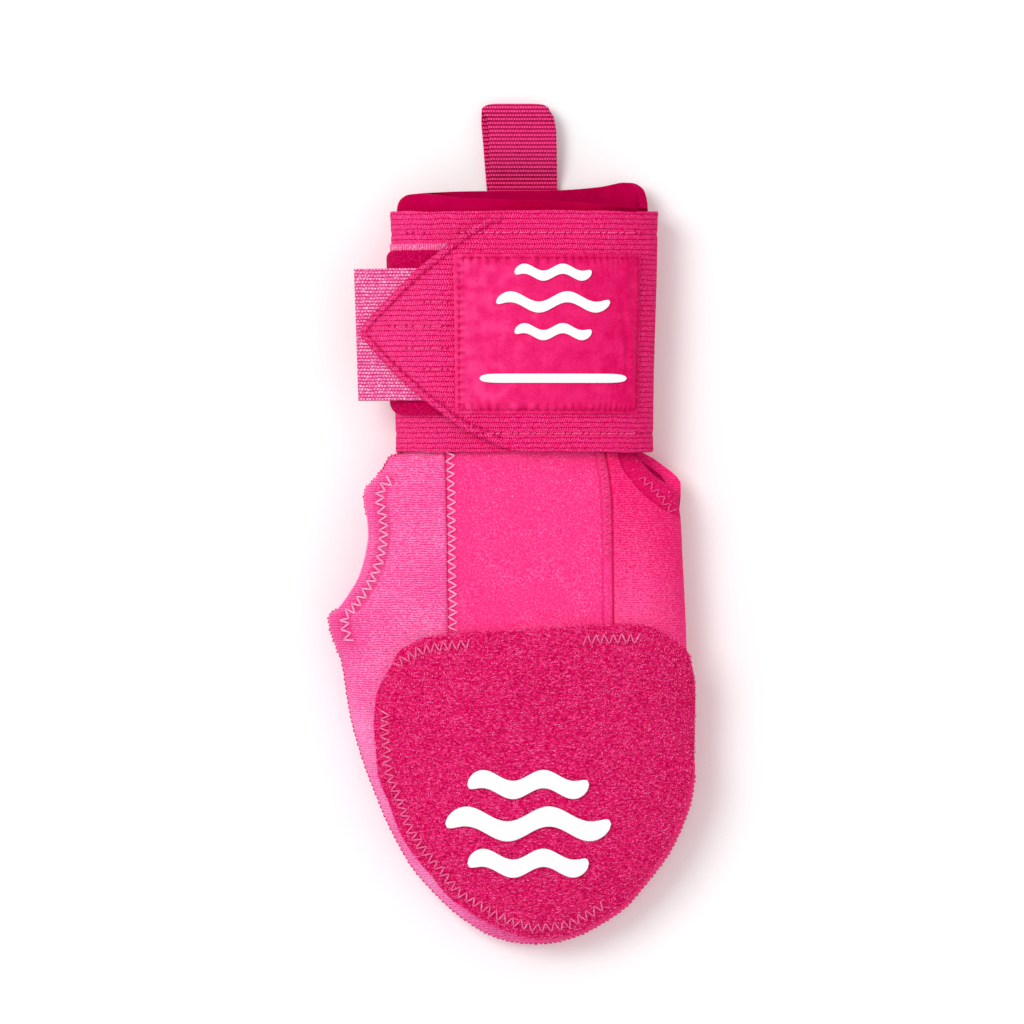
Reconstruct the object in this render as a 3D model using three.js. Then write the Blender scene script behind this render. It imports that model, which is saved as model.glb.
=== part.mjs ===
// Sliding mitt for the left hand, palm side down, fingertips towards -Y, thumb side towards -X.
// Lengths are in millimetres. Tables hold shares of the named sizes beside them.
import * as THREE from 'three';
import { mergeVertices } from 'three/addons/utils/BufferGeometryUtils.js';

// Overall sizes
const mitt_length = 312;
const half_width = 68;
const pocket_length = 182.5;
const pocket_height = 34;
const strap_width = 88.8;

// Fabric and tape thicknesses
const wall = 3;
const pad_thickness = 3.5;
const strap_thickness = 2;
const patch_thickness = 1.6;
const tab_thickness = 1.2;
const label_thickness = 1;
const webbing_thickness = 1.2;
const motif_height = 0.8;
const clearance = 0.3;
const pad_clearance = 0.7;

// Cross-section fullness of the upper and the lower ply
const upper_fullness = 2.6;
const lower_fullness = 3.2;
const floor_flatness = 1.05;

// Places along the mitt
const fingertip_y = -mitt_length / 2;
const strap_low_y = fingertip_y + pocket_length;
const strap_high_y = strap_low_y + strap_width;
const loop_top_y = mitt_length / 2;
const strap_layer = strap_thickness + clearance;
const tuck = 3.7;
const wrist_crown = 0.835;

// Plan of the pocket: share of pocket_length from the strap, sides as shares of half_width
const plan = [
  { along: -tuck / pocket_length, left: 0.6, right: 0.7, hem: 0.66, panel: 0.55 },
  { along: 0.0, left: 0.6, right: 0.705, hem: 0.675, panel: 0.567 },
  { along: 0.012, left: 0.668, right: 0.764, hem: 0.69, panel: 0.577 },
  { along: 0.029, left: 0.692, right: 0.827, hem: 0.722, panel: 0.59 },
  { along: 0.049, left: 0.732, right: 0.895, hem: 0.775, panel: 0.623 },
  { along: 0.061, left: 0.759, right: 0.917, hem: 0.82, panel: 0.648 },
  { along: 0.077, left: 0.797, right: 0.918, hem: 0.882, panel: 0.685 },
  { along: 0.092, left: 0.803, right: 0.917, hem: 0.902, panel: 0.728 },
  { along: 0.118, left: 0.794, right: 0.91, hem: 0.908, panel: 0.822 },
  { along: 0.128, left: 0.79, right: 0.914, hem: 0.914, panel: 0.884 },
  { along: 0.14, left: 0.786, right: 0.917, hem: 0.917, panel: 0.917 },
  { along: 0.17, left: 0.781, right: 0.922, hem: 0.922, panel: 0.922 },
  { along: 0.199, left: 0.792, right: 0.925, hem: 0.925, panel: 0.925 },
  { along: 0.25, left: 0.83, right: 0.932, hem: 0.932, panel: 0.932 },
  { along: 0.286, left: 0.884, right: 0.937, hem: 0.937, panel: 0.937 },
  { along: 0.319, left: 0.95, right: 0.941, hem: 0.941, panel: 0.941 },
  { along: 0.335, left: 0.998, right: 0.943, hem: 0.943, panel: 0.943 },
  { along: 0.361, left: 0.988, right: 0.946, hem: 0.946, panel: 0.946 },
  { along: 0.396, left: 0.955, right: 0.949, hem: 0.949, panel: 0.949 },
  { along: 0.432, left: 0.925, right: 0.953, hem: 0.953, panel: 0.953 },
  { along: 0.503, left: 0.896, right: 0.97, hem: 0.95, panel: 0.95 },
  { along: 0.548, left: 0.873, right: 0.972, hem: 0.95, panel: 0.95 },
  { along: 0.6, left: 0.835, right: 0.975, hem: 0.957, panel: 0.957 },
  { along: 0.637, left: 0.803, right: 0.996, hem: 0.996, panel: 0.996 },
  { along: 0.706, left: 0.732, right: 0.974, hem: 0.974, panel: 0.974 },
  { along: 0.746, left: 0.688, right: 0.94, hem: 0.94, panel: 0.94 },
  { along: 0.813, left: 0.596, right: 0.857, hem: 0.857, panel: 0.857 },
  { along: 0.846, left: 0.541, right: 0.795, hem: 0.795, panel: 0.795 },
  { along: 0.886, left: 0.449, right: 0.709, hem: 0.709, panel: 0.709 },
  { along: 0.919, left: 0.362, right: 0.634, hem: 0.634, panel: 0.634 },
  { along: 0.939, left: 0.302, right: 0.569, hem: 0.569, panel: 0.569 },
  { along: 0.959, left: 0.226, right: 0.484, hem: 0.484, panel: 0.484 },
  { along: 0.98, left: 0.133, right: 0.381, hem: 0.381, panel: 0.381 },
  { along: 0.992, left: 0.041, right: 0.286, hem: 0.286, panel: 0.286 },
  { along: 0.998, left: -0.041, right: 0.215, hem: 0.215, panel: 0.215 },
  { along: 1.0, left: -0.128, right: 0.128, hem: 0.128, panel: 0.128 },
];

// Side view: crown and side seam as shares of pocket_height, floor as a share of strap_layer
const profile = [
  { along: -tuck / pocket_length, crown: 0.815, seam: 0.45, floor: 1.15 },
  { along: 0.0, crown: 0.815, seam: 0.45, floor: 1.15 },
  { along: 0.049, crown: 0.88, seam: 0.435, floor: 0.4 },
  { along: 0.1, crown: 0.92, seam: 0.42, floor: 0 },
  { along: 0.199, crown: 0.97, seam: 0.405, floor: 0 },
  { along: 0.319, crown: 1, seam: 0.395, floor: 0 },
  { along: 0.432, crown: 0.99, seam: 0.385, floor: 0 },
  { along: 0.6, crown: 0.91, seam: 0.36, floor: 0 },
  { along: 0.72, crown: 0.82, seam: 0.33, floor: 0 },
  { along: 0.813, crown: 0.73, seam: 0.3, floor: 0 },
  { along: 0.886, crown: 0.63, seam: 0.27, floor: 0 },
  { along: 0.939, crown: 0.54, seam: 0.25, floor: 0 },
  { along: 0.959, crown: 0.49, seam: 0.24, floor: 0.05 },
  { along: 0.98, crown: 0.41, seam: 0.225, floor: 0.5 },
  { along: 0.992, crown: 0.33, seam: 0.21, floor: 1.3 },
  { along: 0.998, crown: 0.26, seam: 0.2, floor: 2.1 },
  { along: 1.0, crown: 0.195, seam: 0.195, floor: 2.88 },
];

// Side openings: how far each ply stands off the side seam, as shares of pocket_height
const openings = [
  { along: -tuck / pocket_length, thumb_up: 0, thumb_down: 0, little_up: 0.1, little_down: 0.08 },
  { along: 0.049, thumb_up: 0, thumb_down: 0, little_up: 0.17, little_down: 0.1 },
  { along: 0.077, thumb_up: 0.06, thumb_down: 0.05, little_up: 0.14, little_down: 0.08 },
  { along: 0.118, thumb_up: 0.17, thumb_down: 0.14, little_up: 0.03, little_down: 0.02 },
  { along: 0.14, thumb_up: 0.22, thumb_down: 0.17, little_up: 0, little_down: 0 },
  { along: 0.199, thumb_up: 0.27, thumb_down: 0.21, little_up: 0, little_down: 0 },
  { along: 0.25, thumb_up: 0.24, thumb_down: 0.19, little_up: 0, little_down: 0 },
  { along: 0.286, thumb_up: 0.16, thumb_down: 0.13, little_up: 0, little_down: 0 },
  { along: 0.319, thumb_up: 0.07, thumb_down: 0.05, little_up: 0, little_down: 0 },
  { along: 0.361, thumb_up: 0, thumb_down: 0, little_up: 0, little_down: 0 },
  { along: 1.0, thumb_up: 0, thumb_down: 0, little_up: 0, little_down: 0 },
];

// Palm's turned hem at the little-finger slit: width, where it starts across, where it ends along
const slit_hem = { width: 2.7, across: 0.72, across_run: 0.2, along: 0.105, along_run: 0.033 };

// Seams beside the centre panel, as shares of half_width from the middle
const panel_seams = [
  { along: -tuck / pocket_length, left: -0.367, right: 0.49 },
  { along: 0.0, left: -0.366, right: 0.502 },
  { along: 0.061, left: -0.36, right: 0.53 },
  { along: 0.118, left: -0.357, right: 0.541 },
  { along: 0.432, left: -0.345, right: 0.55 },
];

// Finger pad: its sides as shares of half_width
const pad_sides = [
  { along: 0.4, left: 0.74, right: 0.958 },
  { along: 0.432, left: 0.715, right: 0.974 },
  { along: 0.481, left: 0.735, right: 0.994 },
  { along: 0.548, left: 0.752, right: 0.992 },
  { along: 0.6, left: 0.742, right: 0.99 },
  { along: 0.637, left: 0.737, right: 0.985 },
  { along: 0.678, left: 0.711, right: 0.962 },
  { along: 0.713, left: 0.67, right: 0.942 },
  { along: 0.754, left: 0.633, right: 0.9 },
  { along: 0.794, left: 0.577, right: 0.852 },
  { along: 0.826, left: 0.519, right: 0.8 },
  { along: 0.862, left: 0.433, right: 0.728 },
  { along: 0.902, left: 0.348, right: 0.64 },
  { along: 0.931, left: 0.24, right: 0.55 },
  { along: 0.959, left: 0.108, right: 0.43 },
  { along: 0.979, left: -0.02, right: 0.31 },
  { along: 0.989, left: -0.15, right: 0.17 },
];

// Finger pad: its top edge by share of the pad's width, from the thumb side
const pad_top = [
  { across: 0.0, along: 0.49 },
  { across: 0.013, along: 0.462 },
  { across: 0.035, along: 0.432 },
  { across: 0.064, along: 0.408 },
  { across: 0.105, along: 0.391 },
  { across: 0.16, along: 0.376 },
  { across: 0.26, along: 0.368 },
  { across: 0.5, along: 0.361 },
  { across: 0.7, along: 0.352 },
  { across: 0.85, along: 0.35 },
  { across: 0.904, along: 0.36 },
  { across: 0.93, along: 0.37 },
  { across: 0.955, along: 0.38 },
  { across: 0.975, along: 0.392 },
  { across: 0.988, along: 0.401 },
  { across: 0.995, along: 0.408 },
  { across: 1.0, along: 0.414 },
];
// How near the side seam the pad may reach, as a share of the mitt's half width there
const pad_reach = 0.985;
const widest_pad_column = 0.1;
const pad_rows = [
  0, 0.04, 0.1, 0.18, 0.26, 0.34, 0.42, 0.5, 0.57, 0.64, 0.7, 0.76, 0.81, 0.86, 0.9, 0.93, 0.955, 0.975, 0.99, 1,
];

// Wrist: sides as shares of half_width at the strap's two edges
const wrist = [
  { share: 0, left: 0.6, right: 0.71 },
  { share: 1, left: 0.632, right: 0.737 },
];

// Cuff mouth: height of the edge above the strap, as a share of mouth_rise, round the wrist
const mouth_rise = 11;
const mouth_gather = 3.2;
const mouth_lift = 1.2;
const mouth_bend = 8;
const mouth = [
  { turn: 0, rise: 0.1 },
  { turn: 45, rise: 0.14 },
  { turn: 70, rise: 0.27 },
  { turn: 95, rise: 0.36 },
  { turn: 125, rise: 0.46 },
  { turn: 150, rise: 0.57 },
  { turn: 180, rise: 0.52 },
  { turn: 215, rise: 0.64 },
  { turn: 240, rise: 0.7 },
  { turn: 275, rise: 0.74 },
  { turn: 300, rise: 0.85 },
  { turn: 322, rise: 1 },
  { turn: 340, rise: 0.8 },
  { turn: 360, rise: 0.1 },
];

// Strap path round the wrist: how many strap layers lie below it
const tab_stack = (strap_layer + patch_thickness + tab_thickness + 2 * clearance) / strap_layer;
const strap_path = [
  { turn: 48, layers: 0 },
  { turn: 300, layers: 0 },
  { turn: 400, layers: 1 },
  { turn: 462, layers: 1 },
  { turn: 478, layers: tab_stack },
  { turn: 520, layers: tab_stack },
];
const strap_start_turn = 48;
const strap_leave_turn = 490;
const turn_step = 10;
const point_from_turn = 400;

// Pointed end of the strap: edges as shares of strap_width, side as a share of half_width
const strap_point = [
  { side: -0.825, low: 0.482, high: 0.512 },
  { side: -0.775, low: 0.438, high: 0.555 },
  { side: -0.7, low: 0.378, high: 0.61 },
  { side: -0.61, low: 0.31, high: 0.675 },
  { side: -0.48, low: 0.222, high: 0.765 },
  { side: -0.368, low: 0.155, high: 0.835 },
  { side: -0.26, low: 0.09, high: 0.905 },
  { side: -0.16, low: 0.055, high: 0.955 },
  { side: -0.068, low: 0.02, high: 0.995 },
  { side: 0.06, low: 0.0, high: 1.0 },
];
const strap_ends = { low: -0.825, high: -0.825 };
const tab_ends = { low: -0.829, high: -0.872 };

// Patch, hook tab and label on the strap: edges as shares of strap_width
const patch_place = { from_turn: 122, to_turn: 190, low: 0.153, high: 0.838 };
const tab_place = { from_turn: 483, low: 0.212, high: 0.762 };
const label_place = { from_turn: 397, to_turn: 472, low: 0.158, high: 0.82 };
const label_middle_turn = 440;

// Pull loop: webbing from the cuff's underside, height as a share of loop_opening
const webbing_width = 25;
const webbing_left = -10.4;
const loop_skew = 1.8;
const loop_opening = 6.6;
const loop_path = [
  { along: 0.0, height: 0.045 },
  { along: 0.25, height: 0.045 },
  { along: 0.6, height: 0.045 },
  { along: 0.85, height: 0.09 },
  { along: 0.95, height: 0.22 },
  { along: 1.0, height: 0.56 },
  { along: 0.96, height: 0.88 },
  { along: 0.88, height: 1.0 },
  { along: 0.62, height: 0.97 },
  { along: 0.42, height: 0.72 },
  { along: 0.27, height: 0.32 },
  { along: 0.15, height: 0.272 },
  { along: 0.0, height: 0.272 },
];

// Wavy motif bars: middle, length and width, as shares of half_width and of pocket_length
const wave_share = 0.045;
const bar_squareness = 12;
const bar_steps = 22;
const pad_waves = [
  { name: 'pad_wave_1', side: 0.085, along: 0.672, length: 0.66, width: 0.1 },
  { name: 'pad_wave_2', side: 0.085, along: 0.752, length: 0.9, width: 0.11 },
  { name: 'pad_wave_3', side: 0.085, along: 0.832, length: 0.66, width: 0.1 },
];
const label_waves = [
  { name: 'label_wave_1', side: 0.22, along: -0.362, length: 0.42, width: 0.055, wave: 1 },
  { name: 'label_wave_2', side: 0.22, along: -0.302, length: 0.62, width: 0.06, wave: 1 },
  { name: 'label_wave_3', side: 0.22, along: -0.242, length: 0.42, width: 0.055, wave: 1 },
  { name: 'label_bar', side: 0.22, along: -0.148, length: 0.8, width: 0.05, wave: 0 },
];

// Reads a column of a table at any place, straight between rows
function readTable(table, key, place, column) {
  if (place <= table[0][key]) return table[0][column];
  for (let i = 1; i < table.length; i += 1) {
    const before = table[i - 1];
    const after = table[i];
    if (place <= after[key]) {
      const part = (place - before[key]) / (after[key] - before[key]);
      return before[column] + part * (after[column] - before[column]);
    }
  }
  return table[table.length - 1][column];
}

const mix = (from, to, part) => from + (to - from) * part;
const limit = (value) => Math.max(0, Math.min(1, value));

// Side edges and heights of the pocket at one place along it
function sectionAt(along, ply, grow) {
  const left = -readTable(plan, 'along', along, 'left') * half_width;
  const edge = ply === 'upper' ? 'hem' : 'right';
  const right = readTable(plan, 'along', along, edge) * half_width;
  const middle = (left + right) / 2;
  const half = Math.max(0, (right - left) / 2 + grow);
  const shrink = grow < 0 && along > 0 ? grow : 0;
  return {
    along,
    ply,
    grow,
    fullness: ply === 'upper' ? upper_fullness : lower_fullness,
    middle,
    half,
    y: strap_low_y - along * (pocket_length + shrink),
  };
}

// Height of a ply over the floor at a share across its width, from -1 to 1
function plyHeight(section, across) {
  const seam = readTable(profile, 'along', section.along, 'seam') * pocket_height;
  const rest = Math.max(0, 1 - Math.abs(across) ** section.fullness);
  const arch = rest ** (1 / section.fullness);
  const side = across < 0 ? 'thumb' : 'little';
  if (section.ply === 'upper') {
    const lift = readTable(openings, 'along', section.along, `${side}_up`) * pocket_height;
    const edge = seam + lift + clearance / 2;
    const crown = readTable(profile, 'along', section.along, 'crown') * pocket_height;
    return edge + Math.max(0, crown + section.grow - edge) * arch;
  }
  const drop = readTable(openings, 'along', section.along, `${side}_down`) * pocket_height;
  const edge = seam - drop - clearance / 2;
  const floor = readTable(profile, 'along', section.along, 'floor') * strap_layer - section.grow;
  return edge - Math.max(0, edge - floor) * Math.min(1, floor_flatness * arch);
}

function plyPoint(along, across, ply, grow) {
  const section = sectionAt(along, ply, grow);
  return [section.middle + section.half * across, section.y, plyHeight(section, across)];
}

// Shares across a ply, closer together at the sides, between two shares
function spread(from, to, count) {
  const start = Math.asin(Math.max(-1, Math.min(1, from)));
  const end = Math.asin(Math.max(-1, Math.min(1, to)));
  const list = [];
  for (let i = 0; i <= count; i += 1) list.push(Math.sin(mix(start, end, i / count)));
  return list;
}

// Closes an outer and an inner grid of points into one solid
function closedSheet(outer, inner, wraps = false) {
  const rows = outer.length;
  const columns = outer[0].length;
  const points = [...outer.flat(), ...inner.flat()];
  const outerAt = (i, j) => i * columns + (j % columns);
  const innerAt = (i, j) => rows * columns + outerAt(i, j);
  const index = [];
  const quad = (a, b, c, d) => index.push(a, b, c, a, c, d);
  const spans = wraps ? columns : columns - 1;
  for (let i = 0; i < rows - 1; i += 1) {
    for (let j = 0; j < spans; j += 1) {
      quad(outerAt(i, j), outerAt(i, j + 1), outerAt(i + 1, j + 1), outerAt(i + 1, j));
      quad(innerAt(i + 1, j), innerAt(i + 1, j + 1), innerAt(i, j + 1), innerAt(i, j));
    }
    if (!wraps) {
      quad(outerAt(i + 1, 0), innerAt(i + 1, 0), innerAt(i, 0), outerAt(i, 0));
      const last = columns - 1;
      quad(outerAt(i, last), innerAt(i, last), innerAt(i + 1, last), outerAt(i + 1, last));
    }
  }
  for (let j = 0; j < spans; j += 1) {
    const end = rows - 1;
    quad(outerAt(0, j), innerAt(0, j), innerAt(0, j + 1), outerAt(0, j + 1));
    quad(outerAt(end, j + 1), innerAt(end, j + 1), innerAt(end, j), outerAt(end, j));
  }
  return solidFrom(points, index);
}

// Joins equal corners, drops flat triangles and turns the faces outwards
const merge_distance = 0.002;
function solidFrom(points, index) {
  let geometry = new THREE.BufferGeometry();
  geometry.setAttribute('position', new THREE.Float32BufferAttribute(points.flat(), 3));
  geometry.setIndex(index);
  geometry = mergeVertices(geometry, merge_distance);
  const corners = geometry.index.array;
  const kept = [];
  for (let i = 0; i < corners.length; i += 3) {
    const [a, b, c] = [corners[i], corners[i + 1], corners[i + 2]];
    if (a !== b && b !== c && c !== a) kept.push([a, b, c]);
  }
  const at = (i) => new THREE.Vector3().fromBufferAttribute(geometry.attributes.position, i);
  let volume = 0;
  for (const [a, b, c] of kept) volume += at(a).dot(at(b).cross(at(c)));
  geometry.setIndex(kept.flatMap(([a, b, c]) => (volume < 0 ? [a, c, b] : [a, b, c])));
  geometry.computeVertexNormals();
  return geometry;
}

// Part of a ply between two edges given in millimetres from the middle
function plyPiece(places, ply, fromEdge, toEdge, count) {
  const grid = (grow) => places.map((along) => {
    const section = sectionAt(along, ply, 0);
    const from = (fromEdge(along) - section.middle) / section.half;
    const to = (toEdge(along) - section.middle) / section.half;
    return spread(from, to, count).map((across) => plyPoint(along, across, ply, grow));
  });
  return closedSheet(grid(0), grid(-wall));
}

function slitHem(along, across) {
  const reach = limit((across - slit_hem.across) / slit_hem.across_run);
  return slit_hem.width * reach * limit((slit_hem.along - along) / slit_hem.along_run);
}

// Whole width of a ply, closed at the fingertip
function plyToTip(places, ply, count, hemAt = () => 0) {
  const shares = spread(-1, 1, count);
  const outer = places.map((along) => shares.map((across) => plyPoint(along, across, ply, 0)));
  const inner = places.map((along) => shares.map((across) => {
    const [x, y, z] = plyPoint(along, across, ply, -wall);
    return [x - hemAt(along, across), y, z];
  }));
  return closedSheet(outer, inner);
}

// Point on the wrist's oval, raised by grow; turn 0 is the little-finger side, 90 is up
function ringPoint(turn, grow, y) {
  const share = (y - strap_low_y) / strap_width;
  const left = -readTable(wrist, 'share', share, 'left') * half_width;
  const right = readTable(wrist, 'share', share, 'right') * half_width;
  const middle_z = profile[0].seam * pocket_height;
  const crown_z = wrist_crown * pocket_height;
  const angle = (turn * Math.PI) / 180;
  const [c, s] = [Math.cos(angle), Math.sin(angle)];
  const fullness = s >= 0 ? upper_fullness : lower_fullness;
  const across = Math.sign(c) * Math.abs(c) ** (2 / fullness);
  const arch = Math.abs(s) ** (2 / fullness);
  const x = (left + right) / 2 + ((right - left) / 2 + grow) * across;
  if (s >= 0) return [x, y, middle_z + (crown_z - middle_z + grow) * arch];
  const depth = middle_z - strap_layer + grow;
  return [x, y, middle_z - depth * Math.min(1, floor_flatness * arch)];
}

// Cuff: a tube whose mouth slants, slightly gathered above the strap
function cuffGeometry() {
  const turns = [];
  for (let turn = 0; turn < 360; turn += turn_step) turns.push(turn);
  const levels = [0, 0.5, 1];
  const underside = (turn) => Math.max(0, -Math.sin((turn * Math.PI) / 180)) ** 0.5;
  const grid = (grow) => {
    const low = turns.map((turn) => ringPoint(turn, grow, strap_low_y + tuck + clearance));
    const bend = turns.map((turn) => ringPoint(turn, grow, strap_high_y - mouth_bend));
    const rims = levels.map((level) => turns.map((turn) => {
      const rise = readTable(mouth, 'turn', turn, 'rise') * mouth_rise * level;
      const [x, y, z] = ringPoint(turn, grow, strap_high_y + clearance);
      const gather = x < 0 ? mouth_gather * level : 0;
      return [x + gather, y + rise, z + mouth_lift * Math.max(level, underside(turn))];
    }));
    return [low, bend, ...rims];
  };
  return closedSheet(grid(0), grid(-wall), true);
}

// Stations along the strap: round the wrist, then straight out at the pointed end
function strapStations(from, to, ends) {
  const stations = [{ turn: from, out: 0 }];
  const next = (Math.floor(from / turn_step) + 1) * turn_step;
  for (let turn = next; turn < to; turn += turn_step) stations.push({ turn, out: 0 });
  stations.push({ turn: to, out: 0 });
  if (ends !== undefined) {
    for (const out of [0.25, 0.5, 0.75, 1]) stations.push({ turn: to, out, ends });
  }
  return stations;
}

// A point of a band that lies raised by grow; past the oval it goes on straight
function bandPoint(station, grow, y) {
  const [x, , z] = ringPoint(station.turn, grow, y);
  if (station.out === 0) return [x, y, z];
  const before = ringPoint(station.turn - turn_step, grow, y);
  const slope = (z - before[2]) / (x - before[0]);
  const share = (y - strap_low_y) / strap_width;
  const end_x = mix(station.ends.low, station.ends.high, share) * half_width;
  const out_x = mix(x, end_x, station.out);
  return [out_x, y, z + slope * (out_x - x)];
}

const strapGrow = (turn) => clearance + readTable(strap_path, 'turn', turn, 'layers') * strap_layer;

// Band between two edges, given for each station as shares of strap_width
function bandGeometry(stations, growAt, thickness, lowAt, highAt, columns) {
  const grid = (extra) => stations.map((station) => {
    const grow = growAt(station.turn) + extra;
    const [x] = bandPoint(station, grow, strap_low_y + strap_width / 2);
    const row = [];
    for (let j = 0; j <= columns; j += 1) {
      const share = mix(lowAt(x, station), highAt(x, station), j / columns);
      row.push(bandPoint(station, grow, strap_low_y + share * strap_width));
    }
    return row;
  });
  return closedSheet(grid(thickness), grid(0));
}

function strapGeometry() {
  const stations = strapStations(strap_start_turn, strap_leave_turn, strap_ends);
  const edge = (column) => (x, station) => {
    if (station.turn < point_from_turn) return column === 'low' ? 0 : 1;
    return readTable(strap_point, 'side', x / half_width, column);
  };
  return bandGeometry(stations, strapGrow, strap_thickness, edge('low'), edge('high'), 2);
}

const straightEdge = (share) => () => share;

function patchGeometry() {
  const stations = strapStations(patch_place.from_turn, patch_place.to_turn);
  const grow = () => clearance + strap_layer;
  const low = straightEdge(patch_place.low);
  return bandGeometry(stations, grow, patch_thickness, low, straightEdge(patch_place.high), 2);
}

function tabGeometry() {
  const stations = strapStations(tab_place.from_turn, strap_leave_turn, tab_ends);
  const grow = () => clearance + strap_layer + patch_thickness + clearance;
  const low = straightEdge(tab_place.low);
  return bandGeometry(stations, grow, tab_thickness, low, straightEdge(tab_place.high), 2);
}

const labelGrow = (turn) => strapGrow(turn) + strap_thickness + clearance;

function labelGeometry() {
  const stations = strapStations(label_place.from_turn, label_place.to_turn);
  const low = straightEdge(label_place.low);
  return bandGeometry(stations, labelGrow, label_thickness, low, straightEdge(label_place.high), 2);
}

// Finger pad: rows go from its curved top edge to its round end
function padPoint(share, across, grow) {
  const end = pad_sides[pad_sides.length - 1].along;
  const start = readTable(pad_top, 'across', across, 'along');
  const along = mix(start, end, share);
  const left = -readTable(pad_sides, 'along', along, 'left') * half_width;
  const right = readTable(pad_sides, 'along', along, 'right') * half_width;
  const face = sectionAt(along, 'upper', pad_clearance + pad_thickness);
  const from = Math.max(-pad_reach, (left - face.middle) / face.half);
  const to = Math.min(pad_reach, (right - face.middle) / face.half);
  return plyPoint(along, mix(from, to, across), 'upper', grow);
}

// Point over the upper ply, at a side distance and a place along the pocket
function padSurface(x, along, grow) {
  const section = sectionAt(along, 'upper', grow);
  const across = Math.max(-1, Math.min(1, (x - section.middle) / section.half));
  return [x, section.y, plyHeight(section, across)];
}

function padGeometry() {
  const shares = pad_top.map((row) => row.across);
  const columns = [];
  shares.forEach((share, i) => {
    if (i > 0 && share - shares[i - 1] > widest_pad_column) columns.push((share + shares[i - 1]) / 2);
    columns.push(share);
  });
  const grid = (grow) => pad_rows.map((row) => columns.map((across) => padPoint(row, across, grow)));
  return closedSheet(grid(pad_clearance + pad_thickness), grid(pad_clearance));
}

// Motif bar with round ends, lying on the surface that topPoint gives
function motifGeometry(bar, topPoint) {
  const row = (k, height) => {
    const u = mix(-1, 1, k / bar_steps);
    const x = bar.side * half_width + (u * bar.length * half_width) / 2;
    const swing = Math.sin(u * Math.PI * 2) * (bar.wave ?? 1) * wave_share * half_width * bar.length;
    const half = (bar.width * half_width * Math.sqrt(Math.max(0, 1 - Math.abs(u) ** bar_squareness))) / 2;
    const y = strap_low_y - bar.along * pocket_length + swing;
    return [-1, 0, 1].map((side) => topPoint(x, y + side * half, height));
  };
  const grid = (height) => Array.from({ length: bar_steps + 1 }, (_, k) => row(k, height));
  return closedSheet(grid(clearance + motif_height), grid(clearance));
}

function onPad(x, y, height) {
  const along = (strap_low_y - y) / pocket_length;
  return padSurface(x, along, pad_clearance + pad_thickness + height);
}

function onLabel(x, y, height) {
  const grow = labelGrow(label_middle_turn) + label_thickness + height;
  const [left] = ringPoint(180, grow, y);
  const [right] = ringPoint(0, grow, y);
  const across = (x - (left + right) / 2) / ((right - left) / 2);
  const cosine = Math.sign(across) * Math.abs(across) ** (upper_fullness / 2);
  return ringPoint((Math.acos(cosine) * 180) / Math.PI, grow, y);
}

// Pull loop: one strip of webbing folded over, its two ends under the cuff's mouth
function loopGeometry() {
  const start_y = strap_high_y + 2 * clearance;
  const length = loop_top_y - webbing_thickness / 2 - start_y;
  const spine = loop_path.map((row) => [
    start_y + row.along * length,
    webbing_thickness / 2 + clearance + (row.height - loop_path[0].height) * loop_opening,
  ]);
  const grid = (offset) => spine.map(([y, z], i) => {
    const [y0, z0] = spine[Math.max(0, i - 1)];
    const [y1, z1] = spine[Math.min(spine.length - 1, i + 1)];
    const size = Math.hypot(y1 - y0, z1 - z0);
    const [ny, nz] = [(z1 - z0) / size, -(y1 - y0) / size];
    const shift = webbing_left + (loop_skew * i) / (spine.length - 1);
    return [0, 0.5, 1].map((part) => [
      shift + part * webbing_width,
      y + ny * offset,
      z + nz * offset,
    ]);
  });
  return closedSheet(grid(webbing_thickness / 2), grid(-webbing_thickness / 2));
}

// Materials
const jersey = { color: 0xff5f9f, roughness: 0.9, metalness: 0 };
const jersey_right = { color: 0xfa3f84, roughness: 0.9, metalness: 0 };
const brushed = { color: 0xff3c84, roughness: 0.95, metalness: 0 };
const terry = { color: 0xee1a66, roughness: 1, metalness: 0 };
const elastic = { color: 0xf7307c, roughness: 0.85, metalness: 0 };
const lining = { color: 0xdc1262, roughness: 0.8, metalness: 0 };
const pile = { color: 0xc4054f, roughness: 1, metalness: 0 };
const hook_tape = { color: 0xff9cc6, roughness: 0.6, metalness: 0 };
const satin = { color: 0xf0206e, roughness: 0.45, metalness: 0 };
const webbing = { color: 0xe61a6a, roughness: 0.7, metalness: 0 };
const white_rubber = { color: 0xfbfbfb, roughness: 0.5, metalness: 0 };

const mitt = new THREE.Group();
mitt.name = 'sliding_mitt';
function add(name, geometry, look) {
  const mesh = new THREE.Mesh(geometry, new THREE.MeshStandardMaterial(look));
  mesh.name = name;
  mitt.add(mesh);
}

// Upper ply: panels down to the cut under the pad, then the finger pocket
const cut_along = 0.432;
const hem_end_along = 0.128;
const upper_places = plan.map((row) => row.along).filter((along) => along <= cut_along);
const tip_places = plan.map((row) => row.along).filter((along) => along >= cut_along);
tip_places[0] += clearance / pocket_length;
const leftEdge = (along) => -readTable(plan, 'along', along, 'left') * half_width;
const leftSeam = (along) => readTable(panel_seams, 'along', along, 'left') * half_width;
const rightSeam = (along) => readTable(panel_seams, 'along', along, 'right') * half_width;
const panelEdge = (along) => readTable(plan, 'along', along, 'panel') * half_width;
const hemEdge = (along) => readTable(plan, 'along', along, 'hem') * half_width;
const less = (edge) => (along) => edge(along) - clearance / 2;
const more = (edge) => (along) => edge(along) + clearance / 2;
const sideEdge = (along) => (along > hem_end_along ? hemEdge(along) : less(panelEdge)(along));
const hem_places = upper_places.filter((along) => along <= hem_end_along);

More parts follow.
